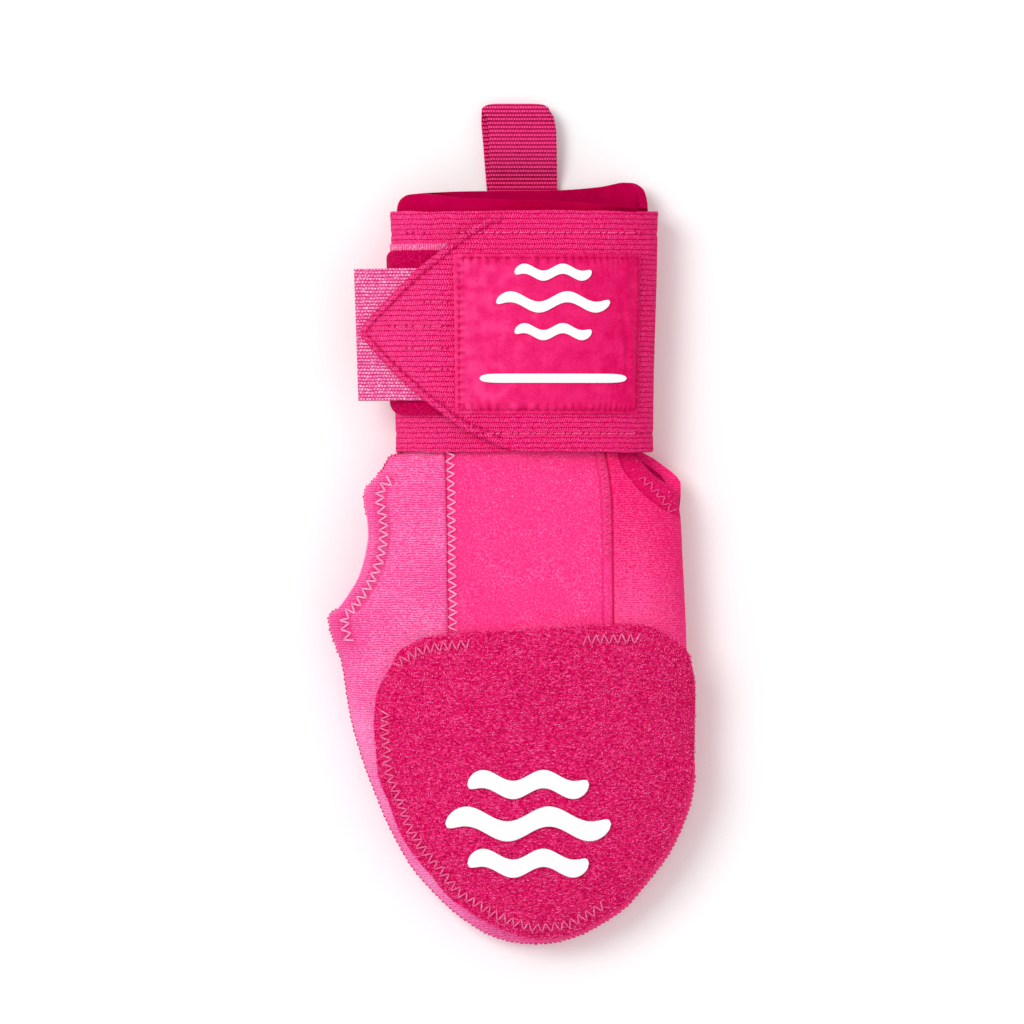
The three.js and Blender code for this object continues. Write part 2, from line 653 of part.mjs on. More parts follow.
add('palm_shell', plyToTip(plan.map((row) => row.along), 'lower', 20, slitHem), jersey);
add('thumb_side_panel', plyPiece(upper_places, 'upper', leftEdge, less(leftSeam), 6), jersey);
add('back_centre_panel', plyPiece(upper_places, 'upper', more(leftSeam), less(rightSeam), 8), brushed);
add('little_finger_side_panel',
  plyPiece(upper_places, 'upper', more(rightSeam), sideEdge, 6), jersey_right);
add('little_finger_opening_hem', plyPiece(hem_places, 'upper', more(panelEdge), hemEdge, 3), jersey_right);
add('finger_pocket_top', plyToTip(tip_places, 'upper', 26), jersey);
add('finger_pad', padGeometry(), terry);
add('cuff', cuffGeometry(), lining);
add('wrist_strap', strapGeometry(), elastic);
add('strap_loop_patch', patchGeometry(), pile);
add('strap_hook_tab', tabGeometry(), hook_tape);
add('strap_label', labelGeometry(), satin);
add('pull_loop', loopGeometry(), webbing);
for (const bar of pad_waves) add(bar.name, motifGeometry(bar, onPad), white_rubber);
for (const bar of label_waves) add(bar.name, motifGeometry(bar, onLabel), white_rubber);

export default mitt;
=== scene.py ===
import math

import bmesh
import bpy
import numpy as np
from bpy.props import FloatProperty, IntProperty, PointerProperty
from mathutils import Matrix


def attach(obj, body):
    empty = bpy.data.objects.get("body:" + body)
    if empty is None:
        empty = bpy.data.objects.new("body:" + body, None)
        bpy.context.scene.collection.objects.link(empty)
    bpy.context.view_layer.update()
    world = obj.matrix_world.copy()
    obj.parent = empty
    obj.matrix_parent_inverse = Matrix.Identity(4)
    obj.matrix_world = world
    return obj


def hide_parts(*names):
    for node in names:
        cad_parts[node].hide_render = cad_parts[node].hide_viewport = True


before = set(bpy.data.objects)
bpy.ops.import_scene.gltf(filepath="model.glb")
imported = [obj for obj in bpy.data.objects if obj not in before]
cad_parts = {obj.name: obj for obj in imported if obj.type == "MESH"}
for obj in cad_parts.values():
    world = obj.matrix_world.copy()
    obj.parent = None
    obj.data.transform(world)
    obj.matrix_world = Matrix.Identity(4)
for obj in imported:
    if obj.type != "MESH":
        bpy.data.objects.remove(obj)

bl_info = {
    "name": "Sliding mitt",
    "version": (1, 0, 0),
    "blender": (4, 5, 0),
    "location": "3D View > Sidebar > Mitt",
    "description": "Builds a padded sliding mitt with its strap, pad, stitching and studio",
    "category": "Add Mesh",
}

MM = 0.001

# Overall sizes in millimetres, the same as the solids have
MITT_LENGTH = 312.0
HALF_WIDTH = 68.0
POCKET_LENGTH = 182.5
POCKET_HEIGHT = 34.0
STRAP_WIDTH = 88.8
WALL = 3.0
PAD_THICKNESS = 3.5
STRAP_THICKNESS = 2.0
PATCH_THICKNESS = 1.6
TAB_THICKNESS = 1.2
LABEL_THICKNESS = 1.0
WEBBING_THICKNESS = 1.2
MOTIF_HEIGHT = 0.8
CLEARANCE = 0.3
PAD_CLEARANCE = 0.7
UPPER_FULLNESS = 2.6
LOWER_FULLNESS = 3.2
FLOOR_FLATNESS = 1.05
FINGERTIP_Y = -MITT_LENGTH / 2
STRAP_LOW_Y = FINGERTIP_Y + POCKET_LENGTH
STRAP_HIGH_Y = STRAP_LOW_Y + STRAP_WIDTH
STRAP_LAYER = STRAP_THICKNESS + CLEARANCE
TUCK = 3.7
STITCH_PITCH = 3.4
WRIST_CROWN = 0.835
WRIST_SEAM = 0.45

# Plan of the pocket: along, left, right of the palm, hem and panel edges, in shares.
# Where a row stops early, the hem and the panel end at the palm's right edge.
PLAN = np.array([row + row[2:] * 2 if len(row) == 3 else row for row in (
    (-TUCK / POCKET_LENGTH, 0.6, 0.7, 0.66, 0.55), (0.0, 0.6, 0.705, 0.675, 0.567),
    (0.012, 0.668, 0.764, 0.69, 0.577), (0.029, 0.692, 0.827, 0.722, 0.59),
    (0.049, 0.732, 0.895, 0.775, 0.623), (0.061, 0.759, 0.917, 0.82, 0.648),
    (0.077, 0.797, 0.918, 0.882, 0.685), (0.092, 0.803, 0.917, 0.902, 0.728),
    (0.118, 0.794, 0.91, 0.908, 0.822), (0.128, 0.79, 0.914, 0.914, 0.884), (0.14, 0.786, 0.917),
    (0.17, 0.781, 0.922), (0.199, 0.792, 0.925), (0.25, 0.83, 0.932), (0.286, 0.884, 0.937),
    (0.319, 0.95, 0.941), (0.335, 0.998, 0.943), (0.361, 0.988, 0.946), (0.396, 0.955, 0.949),
    (0.432, 0.925, 0.953), (0.503, 0.896, 0.97, 0.95, 0.95), (0.548, 0.873, 0.972, 0.95, 0.95),
    (0.6, 0.835, 0.975, 0.957, 0.957), (0.637, 0.803, 0.996), (0.706, 0.732, 0.974),
    (0.746, 0.688, 0.94), (0.813, 0.596, 0.857), (0.846, 0.541, 0.795), (0.886, 0.449, 0.709),
    (0.919, 0.362, 0.634), (0.939, 0.302, 0.569), (0.959, 0.226, 0.484), (0.98, 0.133, 0.381),
    (0.992, 0.041, 0.286), (0.998, -0.041, 0.215), (1.0, -0.128, 0.128),
)])
LEFT, RIGHT, HEM, PANEL = 1, 2, 3, 4

# Side view: along, crown and seam in shares of the pocket's height, floor in strap layers
PROFILE = np.array([
    (-TUCK / POCKET_LENGTH, 0.815, 0.45, 1.15), (0.0, 0.815, 0.45, 1.15), (0.049, 0.88, 0.435, 0.4),
    (0.1, 0.92, 0.42, 0.0), (0.199, 0.97, 0.405, 0.0), (0.319, 1.0, 0.395, 0.0),
    (0.432, 0.99, 0.385, 0.0), (0.6, 0.91, 0.36, 0.0), (0.72, 0.82, 0.33, 0.0), (0.813, 0.73, 0.3, 0.0),
    (0.886, 0.63, 0.27, 0.0), (0.939, 0.54, 0.25, 0.0), (0.959, 0.49, 0.24, 0.05),
    (0.98, 0.41, 0.225, 0.5), (0.992, 0.33, 0.21, 1.3), (0.998, 0.26, 0.2, 2.1),
    (1.0, 0.195, 0.195, 2.88),
])
CROWN, SEAM, FLOOR = 1, 2, 3

# Side openings: along, then how far each ply stands off the seam at the thumb and little side
OPENINGS = np.array([
    (-TUCK / POCKET_LENGTH, 0.0, 0.0, 0.1, 0.08), (0.049, 0.0, 0.0, 0.17, 0.1),
    (0.077, 0.06, 0.05, 0.14, 0.08), (0.118, 0.17, 0.14, 0.03, 0.02), (0.14, 0.22, 0.17, 0.0, 0.0),
    (0.199, 0.27, 0.21, 0.0, 0.0), (0.25, 0.24, 0.19, 0.0, 0.0), (0.286, 0.16, 0.13, 0.0, 0.0),
    (0.319, 0.07, 0.05, 0.0, 0.0), (0.361, 0.0, 0.0, 0.0, 0.0), (1.0, 0.0, 0.0, 0.0, 0.0),
])
THUMB_UP, THUMB_DOWN, LITTLE_UP, LITTLE_DOWN = 1, 2, 3, 4

# Seams beside the centre panel: along, thumb-side seam, little-finger-side seam
SEAMS = np.array([
    (-TUCK / POCKET_LENGTH, -0.367, 0.49), (0.0, -0.366, 0.502), (0.061, -0.36, 0.53),
    (0.118, -0.357, 0.541), (0.432, -0.345, 0.55),
])

# Finger pad sides: along, left, right
PAD_SIDES = np.array([
    (0.4, 0.74, 0.958), (0.432, 0.715, 0.974), (0.481, 0.735, 0.994), (0.548, 0.752, 0.992),
    (0.6, 0.742, 0.99), (0.637, 0.737, 0.985), (0.678, 0.711, 0.962), (0.713, 0.67, 0.942),
    (0.754, 0.633, 0.9), (0.794, 0.577, 0.852), (0.826, 0.519, 0.8), (0.862, 0.433, 0.728),
    (0.902, 0.348, 0.64), (0.931, 0.24, 0.55), (0.959, 0.108, 0.43), (0.979, -0.02, 0.31),
    (0.989, -0.15, 0.17),
])

# Finger pad top edge: share across, along
PAD_TOP = np.array([
    (0.0, 0.49), (0.013, 0.462), (0.035, 0.432), (0.064, 0.408), (0.105, 0.391), (0.16, 0.376),
    (0.26, 0.368), (0.5, 0.361), (0.7, 0.352), (0.85, 0.35), (0.904, 0.36), (0.93, 0.37), (0.955, 0.38),
    (0.975, 0.392), (0.988, 0.401), (0.995, 0.408), (1.0, 0.414),
])
PAD_REACH = 0.985
TUFT_DENSITY = 4.0e6

# Wrist oval at the strap's edges: share up the strap, left, right
WRIST = np.array([
    (0.0, 0.6, 0.71), (1.0, 0.632, 0.737),
])

# Cuff mouth: turn round the wrist in degrees, rise in shares of MOUTH_RISE
MOUTH_RISE = 11.0
MOUTH_GATHER = 3.2
MOUTH_LIFT = 1.2
MOUTH_BEND = 8.0
MOUTH = np.array([
    (0.0, 0.1), (45.0, 0.14), (70.0, 0.27), (95.0, 0.36), (125.0, 0.46), (150.0, 0.57), (180.0, 0.52),
    (215.0, 0.64), (240.0, 0.7), (275.0, 0.74), (300.0, 0.85), (322.0, 1.0), (340.0, 0.8), (360.0, 0.1),
])

# Strap path: turn, strap layers below it
TAB_STACK = (STRAP_LAYER + PATCH_THICKNESS + TAB_THICKNESS + 2 * CLEARANCE) / STRAP_LAYER
STRAP_PATH = np.array([
    (48.0, 0.0), (300.0, 0.0), (400.0, 1.0), (462.0, 1.0), (478.0, TAB_STACK), (520.0, TAB_STACK),
])
# Turns where the strap starts, comes to the top, gets finer rows, lies over itself and leaves the oval
STRAP_START, STRAP_TOP, STRAP_FRONT, STRAP_OVER, STRAP_LEAVE = 48.0, 375.0, 385.0, 400.0, 490.0
BACK_STEP = 10.0
STRAP_END_SIDE = -0.825
TAB_END_SIDE = -0.862
# Places along Y of the sunk rows, on the strap and on its pointed end
STRAP_ROWS = (107.2, 33.2)
POINT_ROWS = (81.6, 72.7, 64.6, 56.8)

# Rows of stitch holes: place along Y, then from where to where across
HOLE_ROWS = [
    (107.2, -40.0, -30.0), (107.2, -21.0, 51.5), (33.2, -14.0, 50.0), (81.6, -36.0, -22.8),
    (72.7, -46.0, -22.8), (64.6, -42.0, -22.8), (56.8, -34.0, -22.8),
]
HOLE_PITCH = 6.5
RIB_PITCH = 1.88
# Height of the strap's flat top, and how far from its edge the distance stored on the mesh reaches
CREST = 30.0
EDGE_REACH = 10.0

# Pointed end of the strap: side, low edge, high edge in shares of the strap's width
STRAP_POINT = np.array([
    (-0.825, 0.482, 0.512), (-0.775, 0.438, 0.555), (-0.7, 0.378, 0.61), (-0.61, 0.31, 0.675),
    (-0.48, 0.222, 0.765), (-0.368, 0.155, 0.835), (-0.26, 0.09, 0.905), (-0.16, 0.055, 0.955),
    (-0.068, 0.02, 0.995), (0.06, 0.0, 1.0),
])

# Tapes on the strap: turns from and to, then low and high edge in shares of its width
PATCH_PLACE = (122.0, 185.0, 0.153, 0.838)
TAB_PLACE = (483.0, STRAP_LEAVE, 0.212, 0.762)
LABEL_PLACE = (397.0, 472.0, 0.158, 0.82)
LABEL_LENGTH = 66.0

# Pull loop: along and height in shares of its length and opening
WEBBING_WIDTH = 25.0
WEBBING_RIB = 1.48
LOOP_SIDE = np.array([
    (0.0, -8.9), (0.3, -10.9), (0.42, -11.6), (0.5, -11.4), (0.56, -9.6), (0.64, -8.7), (1.0, -8.3),
])
LOOP_OPENING = 6.6
LOOP_PATH = np.array([
    (0.0, 0.045), (0.25, 0.045), (0.6, 0.045), (0.85, 0.09), (0.95, 0.22), (1.0, 0.56), (0.96, 0.88),
    (0.88, 1.0), (0.62, 0.97), (0.42, 0.72), (0.27, 0.32), (0.15, 0.272), (0.0, 0.272),
])

# Motif bars: name, side, along, length, width, waves
PAD_BARS = [
    ("pad_wave_1", 0.085, 0.672, 0.66, 0.1, 1.0),
    ("pad_wave_2", 0.085, 0.752, 0.9, 0.11, 1.0),
    ("pad_wave_3", 0.085, 0.832, 0.66, 0.1, 1.0),
]
LABEL_BARS = [
    ("label_wave_1", 0.22, -0.362, 0.42, 0.055, 1.0),
    ("label_wave_2", 0.22, -0.302, 0.62, 0.06, 1.0),
    ("label_wave_3", 0.22, -0.242, 0.42, 0.055, 1.0),
    ("label_bar", 0.22, -0.148, 0.8, 0.05, 0.0),
]
WAVE_SHARE = 0.045

# Studio: the floor's reach in millimetres; the rest in metres
FLOOR_REACH = 4000.0
LIGHTS = (("key", (-0.85, 0.6, 1.6), 0.9), ("fill", (0.8, -0.4, 1.5), 1.4))
WORLD_STRENGTH = 0.72
LENS, SENSOR = 300.0, 36.0
PICTURE_WIDTH = 0.3789
PICTURE_CENTRE = (-0.0002, 0.00425, 0.02)

# Where the panels end at the finger pocket and the hem at the side
CUT_ALONG = 0.432
HEM_END = 0.128


# Curves through the tables

def read(table, place, column=1):
    """Reads a table's column at any places, smooth and without overshoot."""
    keys, values = table[:, 0], table[:, column]
    place = np.clip(np.asarray(place, dtype=float), keys[0], keys[-1])
    gaps = np.diff(keys)
    slopes = np.diff(values) / gaps
    ends = np.zeros(len(keys))
    same = slopes[:-1] * slopes[1:] > 0
    joined = np.where(same, 2 * slopes[:-1] * slopes[1:] / np.where(same, slopes[:-1] + slopes[1:], 1), 0)
    ends[1:-1] = joined
    ends[0], ends[-1] = slopes[0], slopes[-1]
    i = np.clip(np.searchsorted(keys, place, side="right") - 1, 0, len(gaps) - 1)
    t = (place - keys[i]) / gaps[i]
    start = (1 + 2 * t) * (1 - t) ** 2 * values[i] + t * (1 - t) ** 2 * gaps[i] * ends[i]
    stop = t * t * (3 - 2 * t) * values[i + 1] + t * t * (t - 1) * gaps[i] * ends[i + 1]
    return start + stop


def mix(a, b, t):
    return a + (b - a) * t


def rows_between(low, high, step):
    """Places along the pocket: the table's own rows and even steps between them."""
    marks = [low] + [float(v) for v in PLAN[:, 0] if low < v < high] + [high]
    places = []
    for a, b in zip(marks, marks[1:]):
        count = max(1, int(math.ceil((b - a) / step)))
        places += [a + (b - a) * k / count for k in range(count)]
    return np.array(places + [high])


# Surfaces of the pocket

def section(along, ply, grow):
    """Middle and half width of a ply, in millimetres, and its place along Y."""
    left = -read(PLAN, along, LEFT) * HALF_WIDTH
    right = read(PLAN, along, HEM if ply == "upper" else RIGHT) * HALF_WIDTH
    half = np.maximum(0.0, (right - left) / 2 + grow)
    shrink = np.where((along > 0) & (grow < 0), grow, 0.0)
    return (left + right) / 2, half, STRAP_LOW_Y - along * (POCKET_LENGTH + shrink)


def share_across(x, along, grow=0.0):
    """A place in millimetres as a share across the upper ply."""
    middle, half, _ = section(along, "upper", grow)
    return np.clip((x - middle) / half, -1, 1)


def ply_height(along, across, ply, grow):
    """Height of a ply over the floor."""
    seam = read(PROFILE, along, SEAM) * POCKET_HEIGHT
    power = UPPER_FULLNESS if ply == "upper" else LOWER_FULLNESS
    arch = np.maximum(0.0, 1 - np.abs(across) ** power) ** (1 / power)
    thumb = across < 0
    if ply == "upper":
        lift = np.where(thumb, read(OPENINGS, along, THUMB_UP), read(OPENINGS, along, LITTLE_UP))
        edge = seam + lift * POCKET_HEIGHT + CLEARANCE / 2
        crown = read(PROFILE, along, CROWN) * POCKET_HEIGHT + grow
        return edge + np.maximum(0.0, crown - edge) * arch
    drop = np.where(thumb, read(OPENINGS, along, THUMB_DOWN), read(OPENINGS, along, LITTLE_DOWN))
    edge = seam - drop * POCKET_HEIGHT - CLEARANCE / 2
    floor = read(PROFILE, along, FLOOR) * STRAP_LAYER - grow
    return edge - np.maximum(0.0, edge - floor) * np.minimum(1.0, FLOOR_FLATNESS * arch)


def unevenness(x, y):
    """Slow rise and fall of soft foam, in millimetres."""
    return 0.3 * np.sin(x * 0.11 + 1.3) * np.sin(y * 0.085) + 0.22 * np.sin(x * 0.05 - y * 0.13 + 0.6)


def calm(across):
    """One on the ply, falling to nothing at its sewn sides."""
    return np.clip((1 - np.abs(across)) * 6, 0, 1)


def bell(value, width):
    return np.exp(-((value / width) ** 2))


def stitch_pull(along):
    """How hard the zigzag pulls, from 0 to 1, at places along the pocket."""
    return 0.5 + 0.5 * np.cos(along * POCKET_LENGTH * 2 * math.pi / STITCH_PITCH)


def seam_dip(x, along):
    """Height and shade of the two seams of the centre panel, with a ridge and puckers beside each."""
    left = x - read(SEAMS, along, 1) * HALF_WIDTH
    right = x - read(SEAMS, along, 2) * HALF_WIDTH
    pull = stitch_pull(along)
    here = along < CUT_ALONG
    dip = 0.45 * bell(left, 0.45) + 0.75 * bell(right, 0.4) + 0.35 * bell(right + 3.7, 0.4)
    ridge = 0.45 * bell(right + 1.9, 1.5) + 0.4 * bell(left + 2.0, 1.5) + 0.25 * bell(right - 1.8, 1.2)
    pucker = (0.5 * bell(left - 1.7, 1.5) + 0.45 * bell(right + 1.9, 1.4) * (along < 0.2)) * pull
    # dark is painted shade in the seam grooves, beside the ridges and in the puckers
    dark = 0.6 * bell(left, 0.4) + 0.8 * bell(right, 0.4) + 0.55 * bell(right + 3.7, 0.4)
    dark = dark + 0.3 * bell(left - 1.6, 1.6) + 0.35 * bell(right + 1.9, 1.4) * (along < 0.22)
    dark = dark + 0.6 * bell(left - 3.5, 0.5) * (1 - pull) ** 2
    return here * (ridge - dip - pucker), here * dark


def hem_step(x, along):
    """Height and shade of the turned hem of the thumb opening, with a sewn groove."""
    middle, half, _ = section(along, "upper", 0.0)
    opened = np.clip((along - 0.03) * 30, 0, 1) * np.clip((0.41 - along) * 25, 0, 1)
    distance = x - middle + half
    pull = stitch_pull(along)
    band = 0.7 / (1 + np.exp((distance - 6.6) * 2.2))
    height = band - (0.3 + 0.5 * pull) * bell(distance - 5.5, 1.3) - 0.45 * bell(distance - 7.6, 0.6)
    # dark is painted shade in the hem's sewn groove and beside its fold
    dark = 0.62 * bell(distance - 5.6, 1.9) + 0.4 * bell(distance - 7.7, 0.5)
    dark = dark + 0.25 * bell(distance - 3.0, 1.2)
    return opened * height, opened * dark


def slit_hem(along, across):
    """How far the palm's hem is turned in at the little-finger slit, in millimetres."""
    reach = np.clip((across - 0.72) / 0.2, 0, 1)
    return 2.7 * reach * np.clip((0.105 - along) * 30, 0, 1)


def ply_points(along, across, ply, grow, relief=False):
    """Points of a ply, as an array of three columns."""
    middle, half, y = section(along, ply, grow)
    z = ply_height(along, across, ply, grow)
    x = middle + half * across
    if relief:
        z = z + calm(across) * (unevenness(x, y) + seam_dip(x, along)[0]) + hem_step(x, along)[0]
    return np.stack([x, y + 0 * x, z], axis=-1)


def ply_shade(points, along):
    """How much painted shade each point of the upper ply gets in and beside its seams and the hem's groove,
    from 0 to 1.
    """
    return seam_dip(points[..., 0], along)[1] + hem_step(points[..., 0], along)[1]


def top_of_ply(x, y, grow=0.0):
    """Height of the upper ply under a point in plan."""
    along = (STRAP_LOW_Y - y) / POCKET_LENGTH
    across = share_across(x, along, grow)
    return ply_height(along, across, "upper", grow) + calm(across) * unevenness(x, y)


def spread(low, high, count):
    """Shares across a ply, closer together at the sides; low and high are arrays."""
    a = np.arcsin(np.clip(low, -1, 1))[:, None]
    b = np.arcsin(np.clip(high, -1, 1))[:, None]
    part = np.linspace(0, 1, count + 1)[None, :]
    part = mix(part, 0.5 - 0.5 * np.cos(part * math.pi), 0.7)
    return np.sin(mix(a, b, part))


# Surfaces of the wrist

def ring(turn, grow, y):
    """Points on the wrist's oval, raised by grow."""
    share = (y - STRAP_LOW_Y) / STRAP_WIDTH
    left = -mix(WRIST[0, 1], WRIST[1, 1], share) * HALF_WIDTH
    right = mix(WRIST[0, 2], WRIST[1, 2], share) * HALF_WIDTH
    seam, crown = WRIST_SEAM * POCKET_HEIGHT, WRIST_CROWN * POCKET_HEIGHT
    angle = np.radians(turn)
    c, s = np.cos(angle), np.sin(angle)
    power = np.where(s >= 0, UPPER_FULLNESS, LOWER_FULLNESS)
    across = np.sign(c) * np.abs(c) ** (2 / power)
    arch = np.abs(s) ** (2 / power)
    x = (left + right) / 2 + ((right - left) / 2 + grow) * across
    upper = seam + (crown - seam + grow) * arch
    lower = seam - (seam - STRAP_LAYER + grow) * np.minimum(1.0, FLOOR_FLATNESS * arch)
    return x, np.where(s >= 0, upper, lower)


def strap_grow(turn):
    return CLEARANCE + np.interp(turn, STRAP_PATH[:, 0], STRAP_PATH[:, 1]) * STRAP_LAYER


def band(turns, outs, grow, y, end_side):
    """Points of a band at stations: round the oval, then straight out past it."""
    x, z = ring(turns, grow, y)
    before_x, before_z = ring(turns - BACK_STEP, grow, y)
    slope = (z - before_z) / np.where(np.abs(x - before_x) < 1e-6, 1e-6, x - before_x)
    out_x = mix(x, end_side * HALF_WIDTH, outs)
    return np.where(outs > 0, out_x, x), np.where(outs > 0, z + slope * (out_x - x), z)


def stations(start, stop, step, outs=0):
    """Turns of a band's stations and their outward shares, with so many straight out past the end."""
    turns = np.linspace(start, stop, max(2, int(round((stop - start) / step))) + 1)
    return np.append(turns, [stop] * outs), np.append(0 * turns, [(k + 1) / outs for k in range(outs)])


def band_height(x, y, extra):
    """Height of the strap's outer turn over a point in plan, raised by extra."""
    turns, outs = stations(STRAP_TOP, STRAP_LEAVE, 1.5, 12)
    x = np.atleast_1d(np.asarray(x, dtype=float))
    y = np.atleast_1d(np.asarray(y, dtype=float)) + 0 * x
    found = np.empty(len(x))
    for i, (px, py) in enumerate(zip(x, y)):
        bx, bz = band(turns, outs, strap_grow(turns) + extra, py, STRAP_END_SIDE)
        found[i] = np.interp(px, bx[::-1], bz[::-1])
    return found


# Meshes

def build(name, points, faces, material, shade_by=None):
    """Makes a mesh object from points in millimetres, with a value from 0 to 1 at each point: the shade its
    material paints, or on the strap the distance from its edge.
    """
    mesh = bpy.data.meshes.new(name)
    mesh.from_pydata((np.asarray(points) * MM).tolist(), [], faces)
    if shade_by is not None:
        # Stored per point: painted shade on most pieces, the distance from the edge on the strap
        mesh.attributes.new("wear", "FLOAT", "POINT").data.foreach_set("value", shade_by.astype(np.float32))
    mesh.materials.append(material)
    mesh.polygons.foreach_set("use_smooth", [True] * len(mesh.polygons))
    mesh.update()
    return link_object(name, mesh)


def link_object(name, data):
    """Puts mesh, light or camera data into the scene."""
    made = bpy.data.objects.new(name, data)
    bpy.context.scene.collection.objects.link(made)
    return made


def closed_sheet(name, outer, inner, material, wraps=False, rim=0.0, shade_by=None):
    """Closes an outer and an inner grid into one body; rim rounds its edges."""
    rows, columns = outer.shape[:2]
    if shade_by is not None:
        shade_by = np.concatenate([np.clip(shade_by, 0, 1).reshape(-1), np.zeros(rows * columns)])
    points = np.concatenate([outer.reshape(-1, 3), inner.reshape(-1, 3)])
    first = rows * columns
    spans = columns if wraps else columns - 1

    def o(i, j):
        return i * columns + j % columns

    def n(i, j):
        return first + o(i, j)

    faces = []
    for i in range(rows - 1):
        for j in range(spans):
            faces.append((o(i, j), o(i, j + 1), o(i + 1, j + 1), o(i + 1, j)))
            faces.append((n(i + 1, j), n(i + 1, j + 1), n(i, j + 1), n(i, j)))
        if not wraps:
            last = columns - 1
            faces.append((o(i + 1, 0), n(i + 1, 0), n(i, 0), o(i, 0)))
            faces.append((o(i, last), n(i, last), n(i + 1, last), o(i + 1, last)))
    end = rows - 1
    for j in range(spans):
        faces.append((o(0, j), n(0, j), n(0, j + 1), o(0, j + 1)))
        faces.append((o(end, j + 1), n(end, j + 1), n(end, j), o(end, j)))
    made = build(name, points, faces, material, shade_by=shade_by)
    tidy_mesh(made)
    if rim:
        bevel = made.modifiers.new("rim", "BEVEL")
        bevel.width = rim * MM
        bevel.segments = 2
        bevel.limit_method = "ANGLE"
        bevel.angle_limit = math.radians(50)
        settle(made)
    return made


def tidy_mesh(made):
    """Merges doubled points, drops flat faces and turns the faces outwards."""
    bm = bmesh.new()
    bm.from_mesh(made.data)
    bmesh.ops.remove_doubles(bm, verts=bm.verts, dist=2e-6)
    bmesh.ops.dissolve_degenerate(bm, dist=1e-7, edges=bm.edges)
    bmesh.ops.recalc_face_normals(bm, faces=bm.faces)
    bm.to_mesh(made.data)
    bm.free()
    shade(made.data)


def shade(mesh):
    """Smooth shading that keeps hard edges."""
    mesh.polygons.foreach_set("use_smooth", [True] * len(mesh.polygons))
    mesh.set_sharp_from_angle(angle=math.radians(60))
    mesh.update()


def settle(made):
    """Turns an object's modifiers into plain mesh."""
    graph = bpy.context.evaluated_depsgraph_get()
    mesh = bpy.data.meshes.new_from_object(made.evaluated_get(graph))
    old = made.data
    made.modifiers.clear()
    made.data = mesh
    mesh.name = old.name
    bpy.data.meshes.remove(old)
    shade(mesh)


# Shader maths as expressions

class Value:
    """One output socket that takes part in Python expressions."""

    def __init__(self, look, socket):
        self.look, self.socket = look, socket

    def _math(self, kind, a, b=None):
        return self.look.node("ShaderNodeMath", {"operation": kind}, {0: a} if b is None else {0: a, 1: b})

    def __add__(self, other): return self._math("ADD", self, other)
    def __radd__(self, other): return self._math("ADD", other, self)
    def __sub__(self, other): return self._math("SUBTRACT", self, other)
    def __rsub__(self, other): return self._math("SUBTRACT", other, self)
    def __mul__(self, other): return self._math("MULTIPLY", self, other)
    def __truediv__(self, other): return self._math("DIVIDE", self, other)
    def sin(self): return self._math("SINE", self)
    def exp(self): return self._math("EXPONENT", self)
    def bell(self, width): return ((self / width) * (self / width) * -1.0).exp()
    def fract(self): return self._math("FRACT", self)
    def above(self, level): return self._math("GREATER_THAN", self, level)
    def least(self, other): return self._math("MINIMUM", self, other)
    def most(self, other): return self._math("MAXIMUM", self, other)


def clamp(value):
    return value.most(0.0).least(1.0)


def wave(value, pitch, shift=0.0):
    """A wave from 0 to 1 with this pitch in millimetres."""
    return (value * (2 * math.pi / pitch) + shift).sin() * 0.5 + 0.5


def arch(share, height):
    """Rises and falls between two whole numbers, held between 0 and 1."""
    return clamp(share * (1.0 - share) * height)


def every_other(row):
    """One on every second row, otherwise nothing."""
    return (row * 0.5).fract().above(0.5)


def linear(colour):
    """Screen colour, 0 to 255, to the renderer's linear colour."""
    shares = [c / 255 for c in colour]
    return tuple(c / 12.92 if c <= 0.04 else ((c + 0.055) / 1.055) ** 2.4 for c in shares) + (1.0,)


